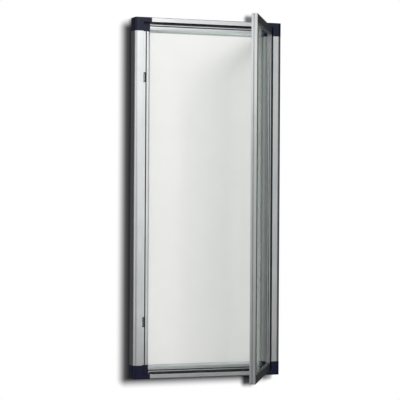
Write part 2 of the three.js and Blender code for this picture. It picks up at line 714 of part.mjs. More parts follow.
// Brass barrel of the lock in the underside of the cap, and the plug that turns the rod
function housingSolid() {
  const range = [-HALF_HEIGHT, HOUSING_LENGTH - HALF_HEIGHT];
  const bore = [range[0] - OVERRUN, range[1] + OVERRUN];
  return upright(HOUSING_RADIUS, ROD_X, ROD_LEVEL, range).subtract(
    upright(PLUG_RADIUS + FIT, ROD_X, ROD_LEVEL, bore),
  );
}

function plugSolid() {
  const foot = PLUG_SINK - HALF_HEIGHT;
  const top = HOUSING_LENGTH - HALF_HEIGHT;
  return cut(upright(PLUG_RADIUS, ROD_X, ROD_LEVEL, [foot, top]), [
    upright(ROD_RADIUS + FIT, ROD_X, ROD_LEVEL, [top - PLUG_SOCKET_DEPTH, top + OVERRUN]),
    block(
      [ROD_X - KEYWAY_WIDTH / 2, ROD_X + KEYWAY_WIDTH / 2],
      [ROD_LEVEL - KEYWAY_LENGTH / 2, ROD_LEVEL + KEYWAY_LENGTH / 2],
      [foot - OVERRUN, foot + KEYWAY_DEPTH],
    ),
  ]);
}

// The case, the door and the lock, as groups of named pieces
function piece(name, shape, finish) {
  const geometry = shape.isBufferGeometry ? shape : geometryOf(shape);
  const mesh = new THREE.Mesh(geometry, new THREE.MeshStandardMaterial(finish));
  mesh.name = name;
  return mesh;
}

// Turns a run made along Z, with its section counted from X = 0, to one side of the case
function onSide(mesh, side) {
  const sides = {
    left: [0, -HALF_WIDTH, 0],
    right: [Math.PI, HALF_WIDTH, 0],
    top: [Math.PI / 2, 0, HALF_HEIGHT],
    bottom: [-Math.PI / 2, 0, -HALF_HEIGHT],
  };
  const [turn, x, z] = sides[side];
  mesh.rotation.y = turn;
  mesh.position.set(x, 0, z);
  return mesh;
}

const CORNERS = [
  ["top_left", -1, 1],
  ["top_right", 1, 1],
  ["bottom_left", -1, -1],
  ["bottom_right", 1, -1],
];

function caseGroup() {
  const group = new THREE.Group();
  const leftStile = cut(stileGeometry(), clawSlots());
  group.add(onSide(piece("case_stile_left", leftStile, ALUMINIUM), "left"));
  group.add(onSide(piece("case_stile_right", stileGeometry(), ALUMINIUM), "right"));
  for (const side of ["top", "bottom"]) {
    group.add(onSide(piece("case_rail_" + side, railGeometry(), ALUMINIUM), side));
    group.add(onSide(piece("door_seal_" + side, sealGeometry(RAIL, RAIL_LENGTH), RUBBER), side));
  }
  for (const side of ["left", "right"]) {
    group.add(onSide(piece("door_seal_" + side, sealGeometry(STILE, STILE_LENGTH), RUBBER), side));
  }
  const boardFront = SHEET_LEVEL - SHEET_THICKNESS - JOINT_GAP;
  group.add(piece("steel_sheet", sheetSolid(SHEET_LEVEL - SHEET_THICKNESS, SHEET_LEVEL), WHITE_ENAMEL));
  group.add(piece("backing_board", sheetSolid(boardFront - BOARD_THICKNESS, boardFront), FIBREBOARD));
  return group;
}

function cornerGroup() {
  const group = new THREE.Group();
  const envelope = caseEnvelope();
  for (const [corner, sideX, sideZ] of CORNERS) {
    const { x, screw } = hangerPlace(sideX, sideZ);
    const capScrew = screwGeometry(SCREW_HEAD_RADIUS, SCREW_LENGTH, SCREW_SINK);
    const stileScrew = piece("stile_screw_" + corner, capScrew, STEEL);
    const railScrew = piece("rail_screw_" + corner, capScrew, STEEL);
    const plateScrew = screwGeometry(SCREW_RADIUS, HANGER_SCREW_LENGTH, JOINT_GAP);
    const hangerScrew = piece("hanger_screw_" + corner, plateScrew, STEEL);
    stileScrew.position.set(
      sideX * (HALF_WIDTH - STILE.face / 2), 0, sideZ * (STILE_LENGTH / 2 - SCREW_FROM_END),
    );
    railScrew.position.set(
      sideX * (RAIL_LENGTH / 2 - SCREW_FROM_END), 0, sideZ * (HALF_HEIGHT - RAIL.face / 2),
    );
    hangerScrew.position.set(x, 0, screw);
    group.add(
      piece("corner_cap_" + corner, capSolid(sideX, sideZ, envelope), NAVY_PLASTIC),
      piece("hanger_plate_" + corner, hangerPlate(sideX, sideZ), STEEL),
      stileScrew,
      railScrew,
      hangerScrew,
    );
  }
  group.add(piece("pivot_bush_top", bushSolid(1), NYLON), piece("pivot_bush_bottom", bushSolid(-1), NYLON));
  return group;
}

// The door is drawn closed, and its group turns it open about the pivot pins
function doorGroup() {
  const leaf = new THREE.Group();
  const slotted = cut(mitred(doorSection(), DOOR_HEIGHT), doorClawSlots());
  const freeStile = piece("door_stile_free", slotted, ALUMINIUM);
  freeStile.position.x = -DOOR_WIDTH / 2;
  const hingeStile = piece("door_stile_hinge", mitred(noseSection(), DOOR_HEIGHT), ALUMINIUM);
  hingeStile.rotation.y = Math.PI;
  hingeStile.position.x = DOOR_WIDTH / 2;
  leaf.add(freeStile, hingeStile);
  for (const [end, sideZ] of [["top", 1], ["bottom", -1]]) {
    leaf.add(piece("door_rail_" + end, doorRailSolid(sideZ), ALUMINIUM));
    leaf.add(piece("pivot_pin_" + end, pinSolid(sideZ), STEEL));
  }
  for (const [corner, sideX, sideZ] of CORNERS) {
    leaf.add(piece("door_key_" + corner, doorKeySolid(sideX, sideZ), STEEL));
  }
  leaf.add(piece("door_pane", paneSolid(), CLEAR_PANE), piece("glazing_seal", glazingSealSolid(), RUBBER));
  leaf.position.set(-PIVOT_X, DOOR_MIDDLE, 0);
  const group = new THREE.Group();
  group.position.set(PIVOT_X, -DOOR_MIDDLE, 0);
  group.rotation.z = THREE.MathUtils.degToRad(DOOR_OPEN_DEGREES);
  group.add(leaf);
  return group;
}

function lockGroup() {
  const group = new THREE.Group();
  group.add(piece("lock_rod", rodSolid(), STEEL), piece("lock_plug", plugSolid(), BRASS));
  group.add(piece("lock_housing", housingSolid(), BRASS));
  for (const [name, z] of [["upper", UPPER_SLOT_RISE], ["lower", -LOWER_SLOT_DROP]]) {
    group.add(piece("lock_claw_" + name, clawSolid(z), STEEL));
    group.add(piece("claw_screw_" + name, clawScrewGeometry(z), STEEL));
  }
  group.add(piece("rod_guide_top", guideSolid(ROD_TOP - GUIDE_HEIGHT / 2), NYLON));
  group.add(piece("rod_guide_middle", guideSolid(0), NYLON));
  return group;
}

const aboutMiddle = new THREE.Group();
aboutMiddle.add(caseGroup(), cornerGroup(), doorGroup(), lockGroup());
aboutMiddle.position.z = RAIL_WIDTH / 2 - HALF_HEIGHT;

const noticeBoard = new THREE.Group();
noticeBoard.add(aboutMiddle);

export default noticeBoard;
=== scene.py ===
"""Looks of a wall-hung lockable notice board: an anodised case with plastic corners and a glazed door."""
import json
import logging
import math
from dataclasses import dataclass
from enum import Enum
from typing import ClassVar

import bmesh
import bpy
from mathutils import Matrix, Vector


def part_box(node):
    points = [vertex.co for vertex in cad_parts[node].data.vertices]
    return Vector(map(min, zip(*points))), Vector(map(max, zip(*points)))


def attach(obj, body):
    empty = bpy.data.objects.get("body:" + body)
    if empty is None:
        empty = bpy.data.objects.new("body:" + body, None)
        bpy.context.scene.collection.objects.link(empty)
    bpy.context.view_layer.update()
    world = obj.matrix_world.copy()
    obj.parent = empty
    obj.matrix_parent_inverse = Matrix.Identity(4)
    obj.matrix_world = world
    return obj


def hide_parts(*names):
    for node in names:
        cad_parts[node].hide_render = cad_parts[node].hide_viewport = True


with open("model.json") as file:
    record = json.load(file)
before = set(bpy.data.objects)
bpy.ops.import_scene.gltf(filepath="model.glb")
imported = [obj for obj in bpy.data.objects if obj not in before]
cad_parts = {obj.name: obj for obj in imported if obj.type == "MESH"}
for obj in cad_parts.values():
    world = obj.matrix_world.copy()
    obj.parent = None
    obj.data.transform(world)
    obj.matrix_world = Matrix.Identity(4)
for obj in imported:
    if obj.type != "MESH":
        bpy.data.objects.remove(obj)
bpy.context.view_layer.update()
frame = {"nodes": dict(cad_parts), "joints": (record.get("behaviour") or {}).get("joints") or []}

LOG = logging.getLogger("notice_board")
# Sizes are written in millimetres. Only the reach of the wall and the floor, and the sizes and
# distances of the lights and the camera, are in metres.
MM = 0.001
WELD = 0.002 * MM
FLAT_ANGLE = math.radians(1)
SMOOTH_ANGLE = math.radians(32)
BREAK_ANGLE = math.radians(40)
ROUND_STEPS = 32
SHANK_STEPS = 24
UP = Vector((0, 0, 1))
RIGHT = Vector((1, 0, 0))
CORNERS = ("top_left", "top_right", "bottom_left", "bottom_right")
ENDS = ("top", "bottom")
SIDES = ("left", "right")
CLAWS = ("upper", "lower")
AROUND = ((-1, -1), (1, -1), (1, 1), (-1, 1))
WHITE = (1.0, 1.0, 1.0, 1.0)

Tree = bpy.types.NodeTree
Node = bpy.types.Node
Mesh = bpy.types.Mesh
Piece = bpy.types.Object
Solid = bmesh.types.BMesh
Inputs = dict[str | int, object]


def linear(hex_colour: str) -> tuple[float, float, float, float]:
    """Turns an sRGB hex colour to the linear values that a socket holds.

    Args:
        hex_colour: Six hex digits after a hash sign.

    Returns:
        Red, green, blue and an alpha of one.
    """
    values = [int(hex_colour[i:i + 2], 16) / 255 for i in (1, 3, 5)]
    red, green, blue = (v / 12.92 if v <= 0.04045 else ((v + 0.055) / 1.055) ** 2.4 for v in values)
    return red, green, blue, 1.0


def socket_of(sockets: bpy.types.bpy_prop_collection, key: str | int) -> bpy.types.NodeSocket:
    """Finds a socket by its position, its identifier or its name.

    Args:
        sockets: The inputs or the outputs of a node.
        key: The position, identifier or name.

    Returns:
        The socket.
    """
    if isinstance(key, int):
        return sockets[key]
    shown = [socket for socket in sockets if socket.enabled]
    return next(s for s in shown if key in (s.identifier, s.name))


def add_node(tree: Tree, kind: str, inputs: Inputs | None = None, **settings: object) -> Node:
    """Adds a node with its settings, values and links.

    Args:
        tree: The tree that takes the node.
        kind: The node's type name.
        inputs: For each input a value, a socket, a node for its first output, or a list of sources.
        **settings: The node's own properties.

    Returns:
        The new node.
    """
    node = tree.nodes.new(kind)
    for name, value in settings.items():
        setattr(node, name, value)
    for key, value in (inputs or {}).items():
        target = socket_of(node.inputs, key)
        for source in value if isinstance(value, list) else [value]:
            if isinstance(source, bpy.types.Node):
                source = next(s for s in source.outputs if s.enabled)
            if isinstance(source, bpy.types.NodeSocket):
                tree.links.new(source, target)
            else:
                target.default_value = source
    return node


def either_ray(tree: Tree, first: str, second: str) -> Node:
    """Adds a value that is one for rays of either of two kinds.

    Args:
        tree: The tree that takes the nodes.
        first: One kind of ray, as Light Path names it.
        second: The other kind.

    Returns:
        The node that holds the value.
    """
    rays = add_node(tree, "ShaderNodeLightPath").outputs
    inputs = {0: socket_of(rays, first), 1: socket_of(rays, second)}
    return add_node(tree, "ShaderNodeMath", inputs, operation="MAXIMUM")


def blank_tree(owner: bpy.types.Material | bpy.types.World) -> Tree:
    """Empties the node tree of a material or of the world.

    Args:
        owner: The material or the world.

    Returns:
        The tree.
    """
    owner.use_nodes = True
    owner.node_tree.nodes.clear()
    return owner.node_tree


def put(name: str, data: bpy.types.ID) -> Piece:
    """Puts a new object into the scene.

    Args:
        name: The object's name.
        data: Its mesh, light or camera.

    Returns:
        The object.
    """
    made = bpy.data.objects.new(name, data)
    bpy.context.scene.collection.objects.link(made)
    return made


class Grain(Enum):
    """Which way a bar was drawn through its die."""

    UPRIGHT = "upright"
    LEVEL = "level"
    ALONG_DOOR = "along_door"


@dataclass(frozen=True)
class Finish:
    """What all finishes share: a name, the record's slot, a cached material and the usual shader."""

    name: ClassVar[str]
    slot: ClassVar[str]

    def paint(self, tree: Tree) -> Node:
        """Adds the shader nodes of the finish. Each finish says here what its patterns are.

        Args:
            tree: The material's tree.

        Returns:
            The shader.
        """
        raise NotImplementedError

    def material(self) -> bpy.types.Material:
        """Makes the material once and returns it from then on.

        Returns:
            The material.
        """
        made = bpy.data.materials.get(self.name)
        if made is None:
            made = bpy.data.materials.new(self.name)
            tree = blank_tree(made)
            add_node(tree, "ShaderNodeOutputMaterial", {"Surface": self.paint(tree)})
        return made

    def cells(self, tree: Tree, size: float | tuple[float, float, float], turn: float = 0.0) -> Inputs:
        """Adds object coordinates, counted in cells of a real size.

        Args:
            tree: The material's tree.
            size: The cell in millimetres: one size for all axes, or one each along X, Y and Z.
            turn: The turn of the pattern about Z, in radians.

        Returns:
            The inputs of a texture that is drawn in those cells.
        """
        along = size if isinstance(size, tuple) else (size,) * 3
        place = add_node(tree, "ShaderNodeTexCoord")
        inputs = {
            "Vector": socket_of(place.outputs, "Object"),
            "Rotation": (0.0, 0.0, turn),
            "Scale": tuple(length * MM for length in along),
        }
        return {"Vector": add_node(tree, "ShaderNodeMapping", inputs, vector_type="TEXTURE"), "Scale": 1.0}

    def coat(
        self,
        tree: Tree,
        share: object,
        tones: tuple[object, object],
        gloss: tuple[object, float, float] | float,
        relief: Inputs,
        rest: Inputs,
    ) -> Node:
        """Adds the shader of a surface whose colour, roughness and relief follow patterns.

        Args:
            tree: The material's tree.
            share: The pattern that mixes the two tones.
            tones: Two colours, each in hex or as a node.
            gloss: The pattern of the roughness, and its value at zero and at one, or one value for all.
            relief: The inputs of the bump.
            rest: The shader's other inputs.

        Returns:
            The shader.
        """
        first, second = (linear(tone) if isinstance(tone, str) else tone for tone in tones)
        mix = {"Factor_Float": share, "A_Color": first, "B_Color": second}
        roughness: object = gloss
        if isinstance(gloss, tuple):
            limits = dict(zip(("Value", "To Min", "To Max"), gloss))
            roughness = add_node(tree, "ShaderNodeMapRange", limits)
        inputs = {
            "Base Color": add_node(tree, "ShaderNodeMix", mix, data_type="RGBA"),
            "Roughness": roughness,
            "Normal": add_node(tree, "ShaderNodeBump", relief),
        }
        return add_node(tree, "ShaderNodeBsdfPrincipled", {**inputs, **rest})


@dataclass(frozen=True)
class AnodisedAluminium(Finish):
    """Extruded aluminium, satin etched and clear anodised: soft grey metal, streaked along the bar."""

    slot: ClassVar[str] = "aluminium"
    grain: Grain
    lean: float = 0.0
    light: str = "#c1c2c3"
    dark: str = "#b6b8b9"
    # Painted shade in the grooves: its colour, how far the occlusion looks, and the occlusion values where
    # it is full and where it ends.
    painted_shade: str = "#0b0b0c"
    shade_reach: float = 24.0
    shade_black: float = 0.15
    shade_edge: float = 0.45
    level_shade_edge: float = 0.85
    roughness: float = 0.3
    swing: float = 0.02
    die_line: float = 1.6
    streak: float = 420.0
    cloud: float = 60.0
    relief: float = 0.012

    @property
    def name(self) -> str:
        """The material's name."""
        return "anodised_aluminium_" + self.grain.value

    def paint(self, tree: Tree) -> Node:
        """Streaks along the bar in colour, roughness and relief, faint clouds of the etching, painted shade.

        Die lines are 0.1 to 0.3 mm apart on the real bar, and drawn wider so that they show. Deep
        grooves get painted shade: the base colour goes black where ambient occlusion finds them
        enclosed, most of all in the level bars.

        Args:
            tree: The material's tree.

        Returns:
            The shader.
        """
        across = self.die_line
        upright = self.grain is Grain.UPRIGHT
        size = (across, across, self.streak) if upright else (self.streak, across, across)
        bar = self.cells(tree, size, self.lean)
        streaks = add_node(tree, "ShaderNodeTexNoise", {**bar, "Detail": 4.0, "Roughness": 0.6})
        etched = self.cells(tree, self.cloud)
        clouds = add_node(tree, "ShaderNodeTexNoise", {**etched, "Detail": 3.0, "Roughness": 0.5})
        both = add_node(tree, "ShaderNodeMath", {0: streaks, 1: clouds}, operation="ADD")
        share = add_node(tree, "ShaderNodeMapRange", {"Value": both, "From Min": 0.7, "From Max": 1.3})
        tones = {"Factor_Float": share, "A_Color": linear(self.dark), "B_Color": linear(self.light)}
        colour = add_node(tree, "ShaderNodeMix", tones, data_type="RGBA")
        # Painted shade: the colour goes black in deep grooves that ambient occlusion finds, whatever the
        # lamps do.
        reach = {"Distance": self.shade_reach * MM}
        near = add_node(tree, "ShaderNodeAmbientOcclusion", reach, samples=8, only_local=True)
        shade_span = {
            "Value": socket_of(near.outputs, "AO"),
            "From Min": self.shade_black,
            "From Max": self.level_shade_edge if self.grain is Grain.LEVEL else self.shade_edge,
        }
        unshaded = add_node(tree, "ShaderNodeMapRange", shade_span, interpolation_type="SMOOTHSTEP")
        gloss = (share, self.roughness + self.swing, self.roughness - self.swing)
        relief = {"Strength": 0.5, "Distance": self.relief * MM, "Height": streaks}
        return self.coat(tree, unshaded, (self.painted_shade, colour), gloss, relief, {"Metallic": 1.0})


@dataclass(frozen=True)
class MouldedPlastic(Finish):
    """Injection moulded ABS, dark navy, with a fine spark-eroded surface and a soft shine."""

    name: ClassVar[str] = "moulded_abs_navy"
    slot: ClassVar[str] = "navy_plastic"
    colour: str = "#0c0f26"
    scuffed: str = "#12162e"
    roughness: float = 0.34
    swing: float = 0.06
    shine: float = 0.2
    grain: float = 0.9
    sink: float = 14.0
    relief: float = 0.03
    sink_relief: float = 0.1

    def paint(self, tree: Tree) -> Node:
        """Fine grain over slow sink marks. Real erosion pits are 0.1 mm, and drawn wider to show.

        Args:
            tree: The material's tree.

        Returns:
            The shader.
        """
        pits = self.cells(tree, self.grain)
        grain = add_node(tree, "ShaderNodeTexNoise", {**pits, "Detail": 3.0, "Roughness": 0.65})
        sinks = add_node(tree, "ShaderNodeTexNoise", {**self.cells(tree, self.sink), "Detail": 1.0})
        pitted = {"Strength": 0.45, "Distance": self.relief * MM, "Height": grain}
        fine = add_node(tree, "ShaderNodeBump", pitted)
        relief = {"Strength": 0.5, "Distance": self.sink_relief * MM, "Height": sinks, "Normal": fine}
        gloss = (grain, self.roughness - self.swing, self.roughness + self.swing)
        rest = {"IOR": 1.5, "Specular IOR Level": self.shine}
        return self.coat(tree, grain, (self.colour, self.scuffed), gloss, relief, rest)


@dataclass(frozen=True)
class EnamelledSteel(Finish):
    """Stove-enamelled steel sheet: matt white with the slight orange peel of a sprayed coat."""

    name: ClassVar[str] = "stove_enamelled_steel"
    slot: ClassVar[str] = "white_enamel"
    colour: str = "#f3f3f1"
    shade: str = "#efefed"
    roughness: float = 0.46
    swing: float = 0.04
    peel: float = 2.6
    cloud: float = 60.0
    relief: float = 0.012

    def paint(self, tree: Tree) -> Node:
        """Orange peel in the relief, and slow clouds in colour and gloss.

        Args:
            tree: The material's tree.

        Returns:
            The shader.
        """
        sprayed = self.cells(tree, self.peel)
        peel = add_node(tree, "ShaderNodeTexNoise", {**sprayed, "Detail": 2.0, "Roughness": 0.4})
        clouds = add_node(tree, "ShaderNodeTexNoise", {**self.cells(tree, self.cloud), "Detail": 2.0})
        gloss = (clouds, self.roughness - self.swing, self.roughness + self.swing)
        relief = {"Strength": 0.5, "Distance": self.relief * MM, "Height": peel}
        return self.coat(tree, clouds, (self.shade, self.colour), gloss, relief, {"IOR": 1.5})


@dataclass(frozen=True)
class Fibreboard(Finish):
    """Pressed hardboard: brown felted fibres with a dull, slightly leathery face."""

    name: ClassVar[str] = "pressed_hardboard"
    slot: ClassVar[str] = "fibreboard"
    colour: str = "#7a6046"
    dark: str = "#5a4430"
    roughness: float = 0.82
    fibre: float = 1.4
    fibre_length: float = 5.6
    clump: float = 12.0
    relief: float = 0.08

    def paint(self, tree: Tree) -> Node:
        """Short fibres, bent all ways, over clumps. Real ones are 0.05 mm thick, and drawn wider to show.

        Args:
            tree: The material's tree.

        Returns:
            The shader.
        """
        felt = self.cells(tree, (self.fibre_length, self.fibre, self.fibre))
        felted = {**felt, "Detail": 6.0, "Roughness": 0.75, "Distortion": 1.2}
        fibres = add_node(tree, "ShaderNodeTexNoise", felted)
        clumps = add_node(tree, "ShaderNodeTexNoise", {**self.cells(tree, self.clump), "Detail": 3.0})
        mixed = add_node(tree, "ShaderNodeMath", {0: fibres, 1: clumps}, operation="MULTIPLY")
        share = add_node(tree, "ShaderNodeMapRange", {"Value": mixed, "From Min": 0.12, "From Max": 0.42})
        relief = {"Strength": 0.6, "Distance": self.relief * MM, "Height": fibres}
        return self.coat(tree, share, (self.dark, self.colour), self.roughness, relief, {"IOR": 1.45})


@dataclass(frozen=True)
class Rubber(Finish):
    """Extruded EPDM rubber: nearly black and matt, with a faint grey bloom."""

    name: ClassVar[str] = "extruded_epdm_rubber"
    slot: ClassVar[str] = "rubber"
    colour: str = "#131415"
    bloom: str = "#222324"
    smoothest: float = 0.54
    roughest: float = 0.72
    speck: float = 1.1
    patch: float = 22.0
    relief: float = 0.04

    def paint(self, tree: Tree) -> Node:
        """Bloom in patches, and a fine dull grain. The real grain is 0.1 mm, and drawn wider to show.

        Args:
            tree: The material's tree.

        Returns:
            The shader.
        """
        dull = self.cells(tree, self.speck)
        speck = add_node(tree, "ShaderNodeTexNoise", {**dull, "Detail": 4.0, "Roughness": 0.7})
        patch = add_node(tree, "ShaderNodeTexNoise", {**self.cells(tree, self.patch), "Detail": 2.0})
        gloss = (speck, self.smoothest, self.roughest)
        relief = {"Strength": 0.4, "Distance": self.relief * MM, "Height": speck}
        return self.coat(tree, patch, (self.colour, self.bloom), gloss, relief, {"IOR": 1.52})


@dataclass(frozen=True)
class ZincPlatedSteel(Finish):
    """Steel with a bright zinc plating: cool grey metal with small cloudy spangles."""

    name: ClassVar[str] = "zinc_plated_steel"
    slot: ClassVar[str] = "steel"
    light: str = "#c9ccd0"
    dark: str = "#a9adb3"
    roughest: float = 0.38
    smoothest: float = 0.27
    spangle: float = 3.2
    relief: float = 0.03

    def paint(self, tree: Tree) -> Node:
        """Soft-edged crystals, each a little lighter or duller than the next.

        Args:
            tree: The material's tree.

        Returns:
            The shader.
        """
        grown_in = {**self.cells(tree, self.spangle), "Smoothness": 0.6}
        crystals = add_node(tree, "ShaderNodeTexVoronoi", grown_in, feature="SMOOTH_F1").outputs
        tone = add_node(tree, "ShaderNodeSeparateColor", {"Color": socket_of(crystals, "Color")})
        height = socket_of(crystals, "Distance")
        gloss = (tone, self.roughest, self.smoothest)
        relief = {"Strength": 0.3, "Distance": self.relief * MM, "Height": height}
        return self.coat(tree, tone, (self.dark, self.light), gloss, relief, {"Metallic": 1.0})


@dataclass(frozen=True)
class Nylon(Finish):
    """Moulded nylon: milky white, a little translucent, with a waxy shine."""

    name: ClassVar[str] = "moulded_nylon"
    slot: ClassVar[str] = "nylon"
    colour: str = "#e6e3d8"
    warm: str = "#dbd6c6"
    roughness: float = 0.42
    swing: float = 0.07
    mottle: float = 3.0
    relief: float = 0.04
    light_depth: float = 1.0

    def paint(self, tree: Tree) -> Node:
        """Waxy mottling in colour and gloss, and light that enters the surface a little.

        Args:
            tree: The material's tree.

        Returns:
            The shader.
        """
        mottle = add_node(tree, "ShaderNodeTexNoise", {**self.cells(tree, self.mottle), "Detail": 3.0})
        gloss = (mottle, self.roughness - self.swing, self.roughness + self.swing)
        relief = {"Strength": 0.3, "Distance": self.relief * MM, "Height": mottle}
        rest = {"IOR": 1.53, "Subsurface Weight": 0.15, "Subsurface Scale": self.light_depth * MM}
        return self.coat(tree, mottle, (self.warm, self.colour), gloss, relief, rest)


@dataclass(frozen=True)
class TurnedBrass(Finish):
    """Turned brass: warm yellow metal with the fine rings that the lathe tool left."""

    name: ClassVar[str] = "turned_brass"
    slot: ClassVar[str] = "brass"
    light: str = "#d8bd78"
    dark: str = "#a98a48"
    roughest: float = 0.35
    smoothest: float = 0.22
    ring: float = 0.5
    ring_run: float = 20.0
    relief: float = 0.03

    def paint(self, tree: Tree) -> Node:
        """Rings about the upright axis. Feed marks are 0.1 mm apart, and drawn wider so that they show.

        Args:
            tree: The material's tree.

        Returns:
            The shader.
        """
        turned = self.cells(tree, (self.ring_run, self.ring_run, self.ring))
        rings = add_node(tree, "ShaderNodeTexNoise", {**turned, "Detail": 3.0, "Roughness": 0.6})
        gloss = (rings, self.roughest, self.smoothest)
        relief = {"Strength": 0.4, "Distance": self.relief * MM, "Height": rings}
        return self.coat(tree, rings, (self.dark, self.light), gloss, relief, {"Metallic": 1.0})


@dataclass(frozen=True)
class FloatGlass(Finish):
    """Clear float glass: sharp reflections, a faint green body and a few dust specks."""

    name: ClassVar[str] = "clear_float_glass"
    slot: ClassVar[str] = "clear_pane"
    tint: str = "#e9f4ef"
    clear: str = "#eaeceb"
    dust_roughness: float = 0.02
    speck: float = 5.0

    def paint(self, tree: Tree) -> Node:
        """Real glass to the eye, and a tinted opening to the light that only passes through it.

        Real dust is under 0.5 mm, and drawn wider to show.

        Args:
            tree: The material's tree.

        Returns:
            The shader.
        """
        specks = add_node(tree, "ShaderNodeTexNoise", {**self.cells(tree, self.speck), "Detail": 2.0})
        dust = {"Value": specks, "From Min": 0.62, "From Max": 0.8, "To Max": self.dust_roughness}
        inputs = {
            "Base Color": linear(self.tint),
            "Roughness": add_node(tree, "ShaderNodeMapRange", dust),
            "IOR": 1.5,
            "Transmission Weight": 1.0,
        }
        glass = add_node(tree, "ShaderNodeBsdfPrincipled", inputs)
        opening = add_node(tree, "ShaderNodeBsdfTransparent", {"Color": linear(self.clear)})
        passing = either_ray(tree, "Is Shadow Ray", "Is Diffuse Ray")
        return add_node(tree, "ShaderNodeMixShader", {0: passing, 1: glass, 2: opening})


def new_tree(name: str, sizes: dict[str, str]) -> tuple[Tree, Node]:
    """Starts a geometry tree that takes a geometry, the named sizes and a finish.

    Args:
        name: The tree's name.
        sizes: The socket type of each named input.

    Returns:
        The tree and its input node.
    """
    tree = bpy.data.node_groups.new(name, "GeometryNodeTree")
    tree.interface.new_socket("Geometry", in_out="OUTPUT", socket_type="NodeSocketGeometry")
    for label, kind in {"Geometry": "NodeSocketGeometry", **sizes, "Finish": "NodeSocketMaterial"}.items():
        tree.interface.new_socket(label, in_out="INPUT", socket_type=kind)
    return tree, add_node(tree, "NodeGroupInput")


def end_tree(tree: Tree, given: Node, geometry: Node) -> None:
    """Ends a tree: instances become real faces and take the finish.

    Args:
        tree: The tree.
        given: Its input node.
        geometry: The node that holds the finished shape.
    """
    real = add_node(tree, "GeometryNodeRealizeInstances", {"Geometry": geometry})
    inputs = {"Geometry": real, "Material": socket_of(given.outputs, "Finish")}
    add_node(tree, "NodeGroupOutput", {"Geometry": add_node(tree, "GeometryNodeSetMaterial", inputs)})


def extruded_bar_tree() -> Tree:
    """Builds the tree for a run of extrusion.

    It takes the section as loops of edges, rounds its corners, fills it, draws it out to both ends,
    cuts the ends square or to a mitre, and takes the cutters away.

    Returns:
        The tree.
    """
    sizes = {
        "Half Length": "NodeSocketFloat",
        "Mitre": "NodeSocketVector",
        "Corner Radius": "NodeSocketFloat",
        "Cutters": "NodeSocketObject",
    }
    tree, given = new_tree("extruded_bar", sizes)
    out = given.outputs
    loops = add_node(tree, "GeometryNodeMeshToCurve", {"Mesh": socket_of(out, "Geometry")})
    fillet = {"Curve": loops, "Count": 3, "Radius": socket_of(out, "Corner Radius"), "Limit Radius": True}
    rounded = add_node(tree, "GeometryNodeFilletCurve", fillet, mode="POLY")
    face = add_node(tree, "GeometryNodeFillCurve", {"Curve": rounded}, mode="TRIANGLES")
    pull = {"Mesh": face, "Offset": (0.0, 0.0, 1.0), "Individual": False}
    drawn = add_node(tree, "GeometryNodeExtrudeMesh", pull)
    foot = add_node(tree, "GeometryNodeFlipFaces", {"Mesh": face})
    both = {"Geometry": [foot, socket_of(drawn.outputs, "Mesh")]}
    joined = add_node(tree, "GeometryNodeJoinGeometry", both)
    closed = add_node(tree, "GeometryNodeMergeByDistance", {"Geometry": joined, "Distance": WELD / 2})
    place = add_node(tree, "GeometryNodeInputPosition")
    parts = add_node(tree, "ShaderNodeSeparateXYZ", {"Vector": place}).outputs
    halfway = {0: socket_of(parts, "Z"), 1: 0.5}
    upper = add_node(tree, "ShaderNodeMath", halfway, operation="GREATER_THAN")
    sign = add_node(tree, "ShaderNodeMath", {0: upper, 1: 2.0, 2: -1.0}, operation="MULTIPLY_ADD")
    lean = {0: place, 1: socket_of(out, "Mitre")}
    slope = add_node(tree, "ShaderNodeVectorMath", lean, operation="DOT_PRODUCT")
    ends = {0: socket_of(out, "Half Length"), 1: socket_of(slope.outputs, "Value")}
    reach = add_node(tree, "ShaderNodeMath", ends, operation="SUBTRACT")
    height = add_node(tree, "ShaderNodeMath", {0: sign, 1: reach}, operation="MULTIPLY")
    moved = {"X": socket_of(parts, "X"), "Y": socket_of(parts, "Y"), "Z": height}
    target = add_node(tree, "ShaderNodeCombineXYZ", moved)
    sized = add_node(tree, "GeometryNodeSetPosition", {"Geometry": closed, "Position": target})
    tools = add_node(tree, "GeometryNodeObjectInfo", {"Object": socket_of(out, "Cutters")})
    cut = {0: sized, 1: socket_of(tools.outputs, "Geometry")}
    whole = add_node(tree, "GeometryNodeMeshBoolean", cut, operation="DIFFERENCE", solver="MANIFOLD")
    end_tree(tree, given, whole)
    return tree


